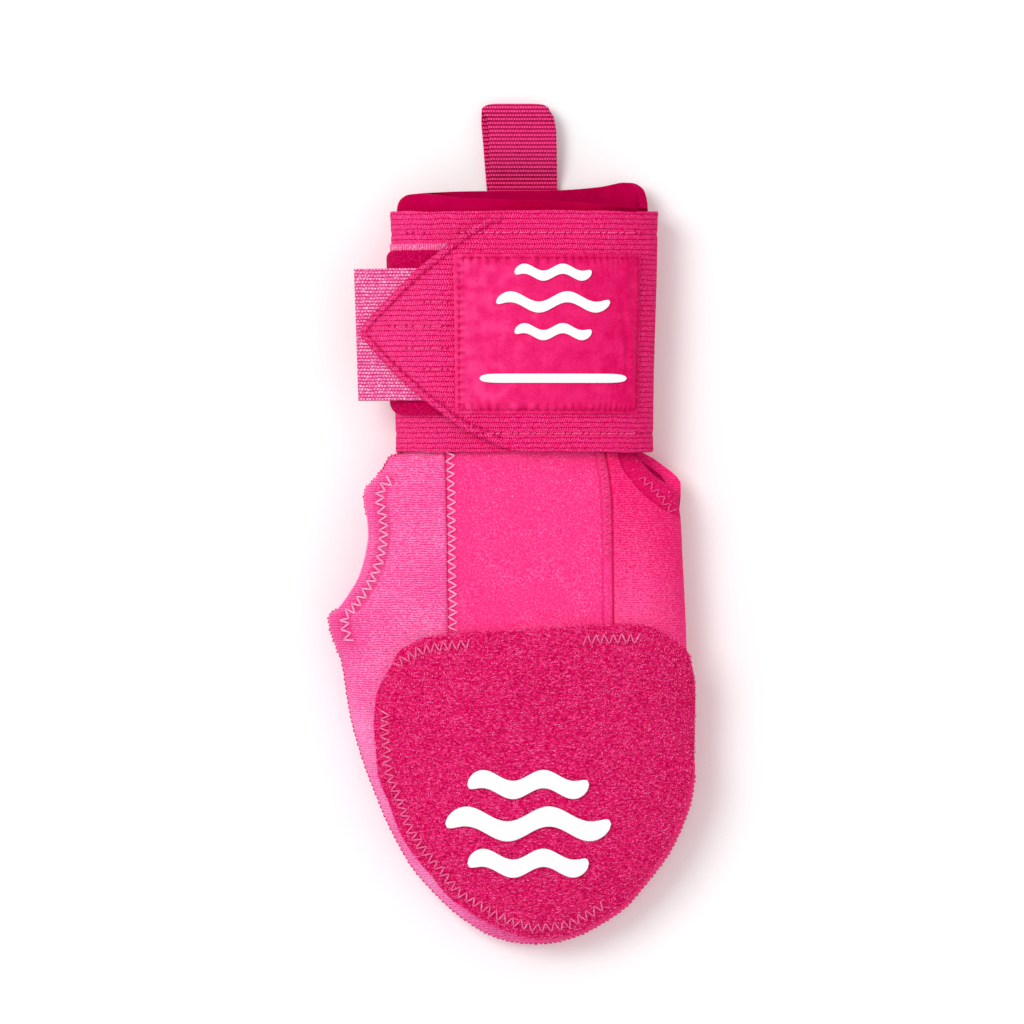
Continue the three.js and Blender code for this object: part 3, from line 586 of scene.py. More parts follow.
class Look:
    """A material made of nodes, with its base, light and dark colours."""

    def __init__(self, name, colours, roughness, sheen, shine=0.08, tint=(255, 90, 160)):
        self.material = bpy.data.materials.new(name)
        self.material.use_nodes = True
        self.base, self.light, self.dark = colours
        self.tree = self.material.node_tree
        self.shader = self.tree.nodes["Principled BSDF"]
        tint = linear(tint)
        for key, value in (("Roughness", roughness), ("Specular IOR Level", shine), ("Specular Tint", tint),
                           ("Sheen Weight", sheen), ("Sheen Roughness", 0.5), ("Sheen Tint", tint)):
            self.shader.inputs[key].default_value = value
        place = self.tree.nodes.new("ShaderNodeTexCoord").outputs["Object"]
        split = self.tree.nodes.new("ShaderNodeSeparateXYZ")
        self.tree.links.new(place, split.inputs[0])
        self.x, self.y, self.z = [Value(self, socket) * 1000.0 for socket in split.outputs]

    def feed(self, socket, value):
        if isinstance(value, Value):
            self.tree.links.new(value.socket, socket)
        else:
            socket.default_value = value

    def node(self, kind, settings, inputs, output=0):
        made = self.tree.nodes.new(kind)
        for key, value in settings.items():
            setattr(made, key, value)
        for key, value in inputs.items():
            self.feed(made.inputs[key], value)
        return Value(self, made.outputs[output])

    def wear(self):
        """The mesh's stored value: the shade to paint on most pieces, the distance from its edge on the
        strap.
        """
        return self.node("ShaderNodeAttribute", {"attribute_name": "wear"}, {}, "Fac")

    def paint_shade(self, colour, dark):
        """Paints shade: darkens a colour by the mesh's stored shade, which stands for the shade in seams,
        grooves, folds and dents.
        """
        return self.blend(self.wear() * 0.85, colour, dark)

    def within(self, value, low, high):
        """One between low and high, with soft ends."""
        return clamp((value - low) * 2.0) * clamp((high - value) * 2.0)

    def hole(self, value, pitch, place):
        """Narrow marks at even steps."""
        near = ((value - place) / pitch + 0.5).fract() - 0.5
        return (near * pitch).bell(0.42)

    def pattern(self, kind, scale_mm, stretch, inputs):
        parts = {k: part * share for k, (part, share) in enumerate(zip((self.x, self.y, self.z), stretch))}
        place = self.node("ShaderNodeCombineXYZ", {}, parts)
        return self.node(kind, {}, {"Vector": place, "Scale": 1 / scale_mm, **inputs})

    def noise(self, scale_mm, detail=2.0, stretch=(1, 1, 1)):
        return self.pattern("ShaderNodeTexNoise", scale_mm, stretch, {"Detail": detail})

    def cells(self, scale_mm, stretch):
        return self.pattern("ShaderNodeTexVoronoi", scale_mm, stretch, {})

    def blend(self, factor, a, b):
        """From colour a to colour b; the factor is held between 0 and 1."""
        made = self.tree.nodes.new("ShaderNodeMix")
        made.data_type = "RGBA"
        self.feed(made.inputs["Factor"], clamp(factor))
        for key, value in (("A", a), ("B", b)):
            socket = [s for s in made.inputs if s.name == key and s.type == "RGBA"][0]
            self.feed(socket, value if isinstance(value, Value) else linear(value))
        return Value(self, [s for s in made.outputs if s.type == "RGBA"][0])

    def tone(self, first, second):
        """From dark to base by the first factor, then on to light by the second."""
        return self.blend(second, self.blend(first, self.dark, self.base), self.light)

    def glow(self, where, colour):
        """Paints light: lets one place emit faintly, though it is no lamp."""
        self.shader.inputs["Emission Strength"].default_value = 1.0
        self.feed(self.shader.inputs["Emission Color"], self.blend(where, (0, 0, 0), colour))

    def finish(self, colour, height=None, strength=0.5, depth_mm=0.3, roughness=None):
        self.feed(self.shader.inputs["Base Color"], colour)
        if roughness is not None:
            self.feed(self.shader.inputs["Roughness"], roughness)
        if height is not None:
            bump = {"Height": height, "Strength": strength, "Distance": depth_mm * MM}
            self.feed(self.shader.inputs["Normal"], self.node("ShaderNodeBump", {}, bump))
        return self.material


def knit(look):
    """The rows and the grain of the fine jersey."""
    return wave(look.y + look.noise(5.0) * 1.2, 0.86), look.noise(0.5, 2.0, (0.6, 1, 1))


def jersey_look(name, colours, opening=None):
    """Fine knit, with painted shade deepening towards the little finger and painted light low on the thumb
    side; opening is the colour of a painted glow inside the opening there.
    """
    look = Look(name, colours, 0.85, 0.08)
    lines, grain = knit(look)
    dots = wave(look.x, 0.78, wave(look.y, 1.72).above(0.5) * math.pi)
    cloud = look.noise(24.0)
    # Painted shade: the colours deepen towards the little finger, away from the light
    side = (look.x + 6.0) / 40.0
    base, light, dark = [look.blend(side, near, far) for near, far in zip(colours, FAR_JERSEY_SHADE)]
    colour = look.blend(lines * 0.95 + dots * 0.25 + grain * 0.9 - 0.68, dark, base)
    # Painted light: paler low on the thumb side, towards the light
    low = clamp((look.y * -1.0 - 45.0) / 30.0) * clamp((look.x * -1.0 - 8.0) / 20.0)
    pale = (grain - 0.5) * 2.2 + (cloud - 0.5) * 0.8 + lines * 0.25 + low * 0.35
    # Painted shade in the seams and the hem's groove, from the mesh's stored shade
    colour = look.paint_shade(look.blend(pale, colour, light), (206, 6, 88))
    if opening:
        # Painted glow inside the little-finger opening, standing in for light that reaches in there
        inside = clamp((look.x - 42.0) / 4.0) * clamp((look.y - 8.0) / 6.0) * clamp((look.z - 4.0) / 4.0)
        look.glow(inside, opening)
    return look.finish(colour, lines * 0.85 + dots * 0.35 + grain * 0.65, 0.6, 0.2)


def palm_look(name, colours):
    """The same knit, with a painted glow inside the little-finger opening, standing in for light that reaches
    in there.
    """
    return jersey_look(name, colours, (124, 0, 52))


def right_jersey_look(name, colours):
    """Fine knit, with the strap's shadow painted deeper at the top and towards the right edge, and painted
    light low on the inside.
    """
    look = Look(name, colours, 0.85, 0.08)
    lines, grain = knit(look)
    # Painted light low down, painted shade under the strap at the top and at the right edge
    lower = clamp((look.y * -1.0 + 14.0) / 55.0 - clamp((look.x - 48.0) / 16.0) * 0.6)
    colour = look.tone(lines * 0.5 + grain * 1.6 - 0.75 + lower * 0.35,
                       (grain - 0.55) * 2.5 + lower * 0.6 + lines * 0.2)
    # Painted shade in the seam, from the mesh's stored shade
    return look.finish(look.paint_shade(colour, (196, 0, 78)), lines * 0.7 + grain * 0.9, 0.6, 0.2)


def brushed_look(name, colours):
    """Short fuzz with pale specks."""
    look = Look(name, colours, 0.95, 0.12)
    fuzz = look.noise(0.62, 3.0)
    cloud = look.noise(16.0, 3.0)
    specks = clamp((look.noise(0.7, 0.0) - 0.8) * 30.0)
    colour = look.tone((fuzz - 0.3) * 2.4, (fuzz - 0.52) * 3.0 + (cloud - 0.5) * 0.8)
    # Pale specks are fibres; painted shade in the seams and along the sunk hem's edge, from the mesh's stored
    # shade
    colour = look.paint_shade(look.blend(specks * 0.5, colour, (255, 190, 212)), (206, 6, 88))
    return look.finish(colour, fuzz + look.noise(2.2) * 0.5, 0.6, 0.25)


def terry_look(name, colours):
    """The ground of the terry, under its loops."""
    look = Look(name, colours, 1.0, 0.15)
    worms = look.noise(0.6, 2.0, (0.55, 1.1, 1))
    cells = look.cells(0.9, (0.7, 1.15, 1))
    colour = look.blend((worms - 0.4) * 4.0, look.dark, look.blend(cells * 1.5 - 0.15, look.light, look.base))
    return look.finish(colour, worms + cells * -0.7, 0.9, 0.5)


def loops_look(name, colours):
    """The terry's loops, in streaks of light and dark."""
    look = Look(name, colours, 0.95, 0.15)
    patch = look.noise(0.85, 1.5, (0.42, 1.35, 1))
    colour = look.tone((patch - 0.38) * 6.0, (patch - 0.53) * 9.0 + (look.noise(9.0) - 0.5) * 0.8)
    return look.finish(colour, look.noise(0.25), 0.4, 0.1)


def elastic_look(name, colours):
    """Knitted ribs with slanted strokes, rows of stitch holes and the folded edges of the pointed end, with
    painted light on the left and on the folds, painted shadow on the right and painted shade in the holes,
    the grooves and along the cut edge.
    """
    look = Look(name, colours, 0.8, 0.08)
    row = (look.y + look.noise(7.0) * 0.8) / RIB_PITCH
    inside = row.fract()
    rib = arch(inside, 8.0)
    lean = every_other(row) * 2.0 - 1.0
    outward = (look.z - CREST) * (1.0 - look.x.above(0.0) * 2.0)
    stroke = wave(look.x + outward + lean * inside * 0.9 + look.noise(1.6) * 0.7, 0.86)
    grain = look.noise(0.45, 3.0, (0.7, 1, 1))
    # Painted light on the left, towards the light, and painted shadow on the right
    side = clamp((look.x * -1.0 - 10.0) / 34.0)
    shadow = clamp((look.x - 22.0) / 40.0)
    top = (look.z - 20.0).above(0.0)
    holes = 0.0
    for at, low, high in HOLE_ROWS:
        holes = look.within(look.x, low, high) * (look.y - at).bell(0.55) + holes
    pair = look.hole(look.x, HOLE_PITCH, 0.0) + look.hole(look.x, HOLE_PITCH, 2.2)
    edge = look.wear() * EDGE_REACH
    pointed = top * (1.0 - edge.above(0.95 * EDGE_REACH))
    frayed = edge + (look.noise(1.3) - 0.5) * 2.4
    # rope is painted light on the fold; groove and cut are painted shade in the sewn groove and along the cut
    # edge
    rope = (frayed - 1.5).bell(1.1) * pointed
    groove = (frayed - 3.6).bell(0.7) * pointed * (look.hole(look.x, 2.3, 0.0) * 0.55 + 0.45)
    cut = (frayed - 0.1).bell(0.5) * pointed
    # Painted shade in the stitch holes, the groove and at the cut edge, which also sink the bump
    dents = clamp(holes * top * pair * 1.1 + groove + cut * 0.5)
    colour = look.tone(rib * 0.95 + stroke * 0.7 + grain * 1.7 - 1.42 + side * 0.1 - shadow * 0.1,
                       (grain - 0.5) * 3.6 + rib * stroke * 1.2 - 0.6 + side * 0.26 + rope * 0.12
                       - shadow * 0.15)
    colour = look.blend(dents, colour, (190, 0, 76))
    return look.finish(colour, rib * 0.6 + stroke * 0.5 + grain * 0.8 - dents * 0.7, 0.9, 0.38)


def satin_look(name, colours):
    """Smooth satin, with painted shade deepening towards the little finger, away from the light, and in the
    dents of its sewn border.
    """
    look = Look(name, colours, 0.5, 0.05, 0.2)
    weave = look.noise(0.5)
    cloud = look.noise(5.0, 3.0)
    # Painted shade: deeper towards the little finger, away from the light
    side = clamp((look.x + 20.0) / 66.0)
    colour = look.tone((cloud - 0.5) * 1.3 + (weave - 0.5) * 1.4 - side * 0.75 + 0.95,
                       (cloud - 0.55) * 1.6 - side + 0.35)
    # Painted shade in the puckers under the border stitches, from the mesh's stored shade
    colour = look.paint_shade(colour, (190, 0, 72))
    return look.finish(colour, weave * 0.5 + cloud * 0.6, 0.4, 0.2, clamp(weave * 0.2 + 0.42))


def smooth_knit_look(name, colours):
    look = Look(name, colours, 0.85, 0.06, 0.03)
    grain = look.noise(0.9, 3.0)
    colour = look.tone(grain * 1.3 - 0.15, (look.noise(8.0, 3.0) - 0.5) * 1.5)
    return look.finish(colour, wave(look.x, 0.6) * 0.2 + grain * 0.6, 0.5, 0.15)


def pile_look(name, colours):
    look = Look(name, colours, 1.0, 0.12, 0.03)
    fuzz = look.noise(0.55, 3.0)
    return look.finish(look.tone((fuzz - 0.35) * 2.8, (fuzz - 0.56) * 5.0), fuzz, 1.0, 0.7)


def hook_look(name, colours):
    """Hook tape: rows of pale dashes set off a little from row to row, with dark gaps between."""
    look = Look(name, colours, 0.6, 0.05, 0.1)
    row = (look.y + look.noise(9.0) * 0.5) / 1.2
    inside = row.fract()
    bar = clamp(inside * (1.0 - inside) * 5.0 - 0.15)
    dash = wave(look.x + (row - inside) * 0.62 + look.noise(1.1) * 1.1, 1.15)
    grain = look.noise(0.55, 2.0, (0.6, 1, 1))
    colour = look.tone(bar * 0.75 + dash * 0.35 + grain * 1.8 - 0.85,
                       bar * dash * 1.1 - 0.35 + (grain - 0.5) * 3.0 + (look.noise(2.4) - 0.5) * 1.5)
    return look.finish(colour, bar + dash * bar * 0.7, 0.8, 0.35)


def webbing_look(name, colours):
    """Ribs across the webbing, with a segment of yarn set off on every other rib, and painted shade where it
    folds over at the top.
    """
    look = Look(name, colours, 0.65, 0.06, 0.12)
    row = look.y / WEBBING_RIB
    rib = arch(row.fract(), 5.0)
    segment = wave(look.x, 0.95, every_other(row) * math.pi)
    grain = look.noise(0.5, 3.0)
    # Painted shade at the folded top, where the webbing turns away from the light
    fold = clamp((look.y - 146.0) / 5.0) * 0.5
    colour = look.tone(rib * 1.9 - 0.65 + (grain - 0.5) * 1.5 - fold,
                       rib * (segment * 0.55 + 0.45) * 2.8 - 1.38 + (grain - 0.5) * 2.6)
    return look.finish(colour, rib + segment * 0.6 * rib, 0.9, 0.4)


def selvedge_look(name, colours):
    look = Look(name, colours, 0.7, 0.1)
    strand = wave(look.x + look.noise(1.2), 0.8)
    colour = look.tone(strand * 1.2 + look.noise(0.6) - 0.6, (look.noise(0.7) - 0.52) * 4.0)
    return look.finish(colour, strand, 0.8, 0.3)


def rubber_look(name, colours):
    look = Look(name, colours, 0.45, 0.0, 0.35, (255, 255, 255))
    grain = look.noise(1.6, 4.0)
    colour = look.blend((grain - 0.3) * 1.2, look.base, look.light)
    return look.finish(colour, grain, 0.25, 0.08, clamp(grain * 0.3 + 0.32))


def thread_look(name, colours):
    look = Look(name, colours, 0.6, 0.1)
    ply = wave(look.x + look.y, 0.42)
    grain = look.noise(0.9)
    return look.finish(look.tone(ply * 0.5 + grain * 0.7, (grain - 0.5) * 3.0), ply, 0.5, 0.08)


def floor_look(name, colours):
    look = Look(name, colours, 0.9, 0.0)
    return look.finish(look.blend(look.noise(60.0) * 0.6, look.base, look.light))


# Base, light and dark of the jersey at the little finger, deeper there as painted shade away from the light
FAR_JERSEY_SHADE = ((250, 50, 125), (255, 84, 152), (226, 14, 94))

# Material name: painter, then base, light and dark screen colours
LOOKS = {
    "jersey_neoprene": (jersey_look, (246, 104, 174), (252, 156, 208), (234, 52, 130)),
    "palm_neoprene": (palm_look, (246, 104, 174), (252, 156, 208), (234, 52, 130)),
    "jersey_right": (right_jersey_look, (254, 56, 130), (255, 98, 166), (232, 18, 98)),
    "brushed_fabric": (brushed_look, (250, 70, 144), (253, 112, 178), (236, 40, 118)),
    "terry": (terry_look, (244, 24, 114), (255, 92, 164), (206, 0, 86)),
    "terry_loops": (loops_look, (252, 28, 124), (255, 134, 198), (198, 0, 78)),
    "cuff_lining": (smooth_knit_look, (190, 0, 72), (208, 6, 88), (168, 0, 60)),
    "knitted_elastic": (elastic_look, (252, 26, 112), (255, 96, 168), (206, 0, 82)),
    "loop_pile": (pile_look, (220, 8, 92), (236, 40, 116), (176, 0, 64)),
    "selvedge": (selvedge_look, (255, 122, 178), (255, 178, 210), (236, 50, 124)),
    "hook_tape": (hook_look, (246, 96, 164), (255, 196, 226), (218, 26, 110)),
    "brushed_hem": (brushed_look, (232, 24, 104), (250, 60, 132), (204, 4, 82)),
    "satin": (satin_look, (240, 44, 120), (246, 78, 144), (212, 6, 86)),
    "webbing": (webbing_look, (232, 14, 100), (255, 80, 152), (162, 0, 60)),
    "white_rubber": (rubber_look, (244, 244, 246), (255, 255, 255), (230, 230, 232)),
    "pale_thread": (thread_look, (255, 178, 220), (255, 212, 236), (255, 134, 194)),
    "rose_thread": (thread_look, (255, 94, 160), (255, 142, 196), (240, 50, 124)),
    "pad_thread": (thread_look, (255, 120, 182), (255, 182, 220), (250, 56, 136)),
    "jersey_thread": (thread_look, (252, 100, 166), (255, 160, 208), (226, 36, 112)),
    "deep_thread": (thread_look, (222, 16, 96), (240, 50, 126), (190, 0, 74)),
    "floor": (floor_look, (250, 250, 250), (255, 255, 255), (240, 240, 240)),
}


def material(name):
    """The look of this name, made once."""
    painter, *colours = LOOKS[name]
    return bpy.data.materials.get(name + "_look") or painter(name + "_look", colours)


# Geometry Nodes

def node_tree(name, inputs, nodes, links):
    """A node group, made once: its named inputs, its nodes as kind, settings and values, and its links."""
    found = bpy.data.node_groups.get(name)
    if found:
        return found
    tree = bpy.data.node_groups.new(name, "GeometryNodeTree")
    for label, kind, value in (("Geometry", "Geometry", None), *inputs):
        socket = tree.interface.new_socket(label, in_out="INPUT", socket_type="NodeSocket" + kind)
        if value is not None:
            socket.default_value = value
    tree.interface.new_socket("Geometry", in_out="OUTPUT", socket_type="NodeSocketGeometry")
    made = {"start": tree.nodes.new("NodeGroupInput"), "end": tree.nodes.new("NodeGroupOutput")}
    for label, (kind, settings, values) in nodes.items():
        made[label] = tree.nodes.new(kind)
        for key, value in settings.items():
            setattr(made[label], key, value)
        for key, value in values.items():
            made[label].inputs[key].default_value = value
    for source, output, target, entry in links:
        tree.links.new(made[source].outputs[output], made[target].inputs[entry])
    return tree


def grow_with(tree, made, values):
    """Puts a tree on an object with these inputs and turns the result into mesh."""
    modifier = made.modifiers.new(tree.name, "NODES")
    modifier.node_group = tree
    for item in tree.interface.items_tree:
        if item.item_type == "SOCKET" and item.in_out == "INPUT" and item.name in values:
            modifier[item.identifier] = values[item.name]
    settle(made)


# The end of both trees: plain mesh with its material
LAST_NODES = {
    "real": ("GeometryNodeRealizeInstances", {}, {}),
    "paint": ("GeometryNodeSetMaterial", {}, {}),
}
LAST_LINKS = [
    ("real", "Geometry", "paint", "Geometry"),
    ("start", "Material", "paint", "Material"),
    ("paint", "Geometry", "end", "Geometry"),
]


def thread_tree():
    """Tree that turns lines into round thread."""
    return node_tree("thread", [
        ("Radius", "Float", 0.0002),
        ("Sides", "Int", 5),
        ("Material", "Material", None),
    ], {
        "curve": ("GeometryNodeMeshToCurve", {}, {}),
        "circle": ("GeometryNodeCurvePrimitiveCircle", {}, {}),
        "tube": ("GeometryNodeCurveToMesh", {}, {"Fill Caps": True}),
        **LAST_NODES,
    }, [
        ("start", "Geometry", "curve", "Mesh"),
        ("start", "Radius", "circle", "Radius"),
        ("start", "Sides", "circle", "Resolution"),
        ("curve", "Curve", "tube", "Curve"),
        ("circle", "Curve", "tube", "Profile Curve"),
        ("tube", "Mesh", "real", "Geometry"),
        *LAST_LINKS,
    ])


def tuft_tree():
    """Tree that scatters small loops over a surface, each turned and sized a little differently."""
    return node_tree("tufts", [
        ("Tuft", "Object", None),
        ("Density", "Float", 1.0),
        ("Spacing", "Float", 0.0005),
        ("Seed", "Int", 4),
        ("Material", "Material", None),
    ], {
        "scatter": ("GeometryNodeDistributePointsOnFaces", {"distribute_method": "POISSON"}, {}),
        "tuft": ("GeometryNodeObjectInfo", {}, {}),
        "put": ("GeometryNodeInstanceOnPoints", {}, {}),
        "turn": ("FunctionNodeRandomValue", {"data_type": "FLOAT_VECTOR"},
                 {0: (-0.35, -0.35, -0.6), 1: (0.35, 0.35, 0.6)}),
        "rotate": ("FunctionNodeRotateEuler", {"rotation_type": "EULER", "space": "LOCAL"}, {}),
        "size": ("FunctionNodeRandomValue", {"data_type": "FLOAT"}, {2: 0.8, 3: 1.25}),
        **LAST_NODES,
    }, [
        ("start", "Geometry", "scatter", "Mesh"),
        ("start", "Density", "scatter", "Density Max"),
        ("start", "Spacing", "scatter", "Distance Min"),
        ("start", "Seed", "scatter", "Seed"),
        ("start", "Seed", "turn", "Seed"),
        ("start", "Seed", "size", "Seed"),
        ("start", "Tuft", "tuft", "Object"),
        ("scatter", "Points", "put", "Points"),
        ("tuft", "Geometry", "put", "Instance"),
        ("scatter", "Rotation", "rotate", "Rotation"),
        ("turn", 0, "rotate", "Rotate By"),
        ("rotate", "Rotation", "put", "Rotation"),
        ("size", 1, "put", "Scale"),
        ("put", "Instances", "real", "Geometry"),
        *LAST_LINKS,
    ])


def threads(name, lines, radius, look, sides=5):
    """Round thread along lines given in millimetres, as one mesh."""
    points, edges = [], []
    for line in lines:
        first = len(points)
        points += [tuple(p) for p in line]
        edges += [(first + k, first + k + 1) for k in range(len(line) - 1)]
    mesh = bpy.data.meshes.new(name)
    mesh.from_pydata((np.array(points) * MM).tolist(), edges, [])
    made = link_object(name, mesh)
    grow_with(thread_tree(), made, {"Radius": radius * MM, "Sides": sides, "Material": material(look)})
    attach(made, "root")
    return made


# Stitch lines in plan, laid on a surface

def travel(points):
    """How far a line has run at each of its points."""
    return np.concatenate([[0], np.cumsum(np.linalg.norm(np.diff(points, axis=0), axis=1))])


def directions(points):
    """Unit vectors along a line at its points."""
    along = np.gradient(points, axis=0)
    return along / np.linalg.norm(along, axis=1)[:, None]


def resample(line, count):
    """A line's points at so many even steps."""
    run = travel(line)
    at = np.linspace(0, run[-1], count + 1)
    return np.column_stack([np.interp(at, run, column) for column in line.T])


def even(path, step):
    """Points at even steps along a plan path, with their directions."""
    path = np.array(path, dtype=float)
    points = resample(path, max(2, int(round(travel(path)[-1] / step))))
    return points, directions(points)


def on_surface(points, height, lift):
    """Puts plan points on a surface, raised by lift, which may be an array."""
    points = np.array(points)
    return np.column_stack([points[:, 0], points[:, 1], height(points[:, 0], points[:, 1]) + lift])


def zigzag(path, height, pitch, width, lift, sink=0.25):
    """A zigzag as one line of thread that dives in at each turn."""
    centre, along = even(path, pitch / 2)
    side = np.stack([-along[:, 1], along[:, 0]], 1)
    uneven = np.random.default_rng(len(centre)).uniform(-1, 1, (len(centre), 2))
    sign = np.where(np.arange(len(centre)) % 2, 1, -1)[:, None]
    turns = centre + side * (width / 2 + uneven[:, :1] * 0.22) * sign + along * uneven[:, 1:] * 0.25
    points, lifts = [], []
    for a, b in zip(turns, turns[1:]):
        points += [a, mix(a, b, 0.22), mix(a, b, 0.78)]
        lifts += [-sink, lift, lift]
    return on_surface(points + [turns[-1]], height, np.array(lifts + [-sink]))


def dashes(path, height, pitch, fill, lift, wobble=0.0, sink=0.3):
    """A row of straight stitches, each a line of its own."""
    centre, along = even(path, pitch)
    lines = []
    for k, (p, d) in enumerate(zip(centre[:-1], along)):
        off = np.array([-d[1], d[0]]) * wobble * (1 if k % 2 else -1)
        a, b = p - off, p + d * pitch * fill + off
        places = [a, mix(a, b, 0.25), mix(a, b, 0.75), b]
        lines.append(on_surface(places, height, np.array([-sink, lift, lift, -sink])))
    return lines


def edge_loops(rim, pitch, reach):
    """Slanted loops of thread round a seam's edge, each a line of its own."""
    points = resample(rim, int(travel(rim)[-1] / pitch))
    along = directions(points)
    outward = np.column_stack([along[:, 1], -along[:, 0], np.zeros(len(points))])
    if np.sum((points - rim.mean(axis=0)) * outward) < 0:
        outward = -outward
    up = np.array([0, 0, 1.0])
    lines = []
    for k, (p, d, o) in enumerate(zip(points, along, outward)):
        bulge = reach * (0.75 + 0.25 * math.sin(k * 2.3))
        loop = []
        for run, out, rise in ((-0.3, -1.1, 1.5), (-0.3, bulge * 0.45, 0.75), (0, bulge, 0),
                               (0.3, bulge * 0.45, -0.75), (0.3, -1.1, -1.5)):
            loop.append(p + d * pitch * run + o * out + up * rise)
        lines.append(np.array(loop))
    return lines


# Settings

class MittSettings(bpy.types.PropertyGroup):
    """Sizes that shape the mitt's detail."""
    zigzag_pitch: FloatProperty(
        name="Zigzag pitch", description="Length of one zigzag stitch", default=0.0034, unit="LENGTH")
    zigzag_width: FloatProperty(
        name="Zigzag width", description="Width of the seam zigzags", default=0.0032, unit="LENGTH")
    thread_radius: FloatProperty(
        name="Thread radius", description="Radius of the sewing thread", default=0.00019, unit="LENGTH")
    row_pitch: FloatProperty(
        name="Row pitch", description="Stitch length in the strap's rows", default=0.0031, unit="LENGTH")
    tuft_spacing: FloatProperty(
        name="Tuft spacing", description="Least distance between terry loops", default=0.00082, unit="LENGTH")
    tuft_seed: IntProperty(name="Tuft seed", description="Seed of the scattered loops", default=7)
    key_power: FloatProperty(name="Key light", description="Power of the main light in watts", default=17.0)
    fill_power: FloatProperty(name="Fill light", description="Power of the fill light in watts", default=2.0)


# Pieces

def ply_piece(name, places, low, high, count, look, rim=0.0, sunk=0.0):
    """One piece of the upper ply between two edges; a sunk piece gets painted shade along its first edge,
    where it steps down.
    """
    across = spread(low, high, count)
    along = np.repeat(places[:, None], count + 1, axis=1)
    outer = ply_points(along, across, "upper", 0.0, True)
    outer[..., 2] -= sunk
    dark = ply_shade(outer, along)
    if sunk:
        # Painted shade along the edge where the sunk piece steps down
        dark = dark + 0.9 * np.exp(-np.linspace(0, 1, count + 1) * 14)
    inner = ply_points(along, across, "upper", -WALL)
    return closed_sheet(name + "_cloth", outer, inner, material(look), rim=rim, shade_by=dark)


def stand_for(made, node):
    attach(made, "root")
    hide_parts(node)
    return made


class MITT_OT_body(bpy.types.Operator):
    """Builds the palm, the upper panels, the hem and the finger pocket"""
    bl_idname = "mitt.body"
    bl_label = "Mitt body"

    def execute(self, context):
        wrist = PLAN[0, 0]
        places = rows_between(wrist, 1.0, 0.012)
        one = np.ones(len(places))
        across = spread(-one, one, 72)
        along = np.repeat(places[:, None], 73, axis=1)
        inner = ply_points(along, across, "lower", -WALL)
        inner[..., 0] -= slit_hem(along, across)
        outer = ply_points(along, across, "lower", 0.0)
        palm = closed_sheet("palm_shell_cloth", outer, inner, material("palm_neoprene"))
        stand_for(palm, "palm_shell")

        places = rows_between(wrist, CUT_ALONG, 0.0035)
        one = np.ones(len(places))
        left, right = [share_across(read(SEAMS, places, side) * HALF_WIDTH, places) for side in (1, 2)]
        panel = share_across(read(PLAN, places, PANEL) * HALF_WIDTH, places)
        panel = np.where(places > HEM_END + 0.012, one, panel)
        for name, low, high, count, look, slot in (
                ("thumb_side_panel", -one, left, 64, "jersey_neoprene", "jersey_neoprene"),
                ("back_centre_panel", left, right, 90, "brushed_fabric", "brushed_fabric"),
                ("little_finger_side_panel", right, panel, 56, "jersey_right", "jersey_neoprene")):
            piece = ply_piece(name, places, low, high, count, look)
            stand_for(piece, name)

        places = rows_between(wrist, HEM_END + 0.011, 0.005)
        panel = share_across(read(PLAN, places, PANEL) * HALF_WIDTH, places)
        one = np.ones(len(places))
        hem = ply_piece("little_finger_opening_hem", places, panel, one, 30, "brushed_hem", 0.5, 0.7)
        stand_for(hem, "little_finger_opening_hem")

        places = rows_between(CUT_ALONG, 1.0, 0.007)
        one = np.ones(len(places))
        pocket = ply_piece("finger_pocket_top", places, -one, one, 80, "jersey_neoprene")
        stand_for(pocket, "finger_pocket_top")
        return {"FINISHED"}


def pad_grid(rows, across, grow):
    """Grid of points of the finger pad at one height over the ply."""
    share, column = np.meshgrid(rows, across, indexing="ij")
    start = read(PAD_TOP, column)
    along = mix(start, PAD_SIDES[-1, 0], share)
    left = -read(PAD_SIDES, along, 1) * HALF_WIDTH
    right = read(PAD_SIDES, along, 2) * HALF_WIDTH
    middle, half, _ = section(along, "upper", PAD_CLEARANCE + PAD_THICKNESS)
    low = np.maximum(-PAD_REACH, (left - middle) / half)
    high = np.minimum(PAD_REACH, (right - middle) / half)
    points = ply_points(along, mix(low, high, column), "upper", grow)
    points[..., 2] += unevenness(points[..., 0], points[..., 1])
    return points


def ease(count):
    """Shares from 0 to 1, closer together at both ends."""
    return 0.5 + 0.5 * np.sin(np.linspace(-1, 1, count + 1) * math.pi / 2)


def tuft_object(width=0.95, height=0.62, radius=0.17, steps=3, sides=3):
    """One small loop of yarn: a bent tube of a few faces."""
    points, faces = [], []
    for i in range(steps + 1):
        angle = math.pi * i / steps
        cx, cz = -math.cos(angle) * width / 2, math.sin(angle) * height - 0.12
        for j in range(sides):
            turn = 2 * math.pi * j / sides + 0.5
            points.append((cx + math.cos(turn) * radius * math.cos(angle), math.sin(turn) * radius,
                           cz + math.cos(turn) * radius * math.sin(angle)))
            if i < steps:
                k = (j + 1) % sides
                faces.append((i * sides + j, i * sides + k, (i + 1) * sides + k, (i + 1) * sides + j))
    return build("tuft_source", points, faces, material("terry_loops"))


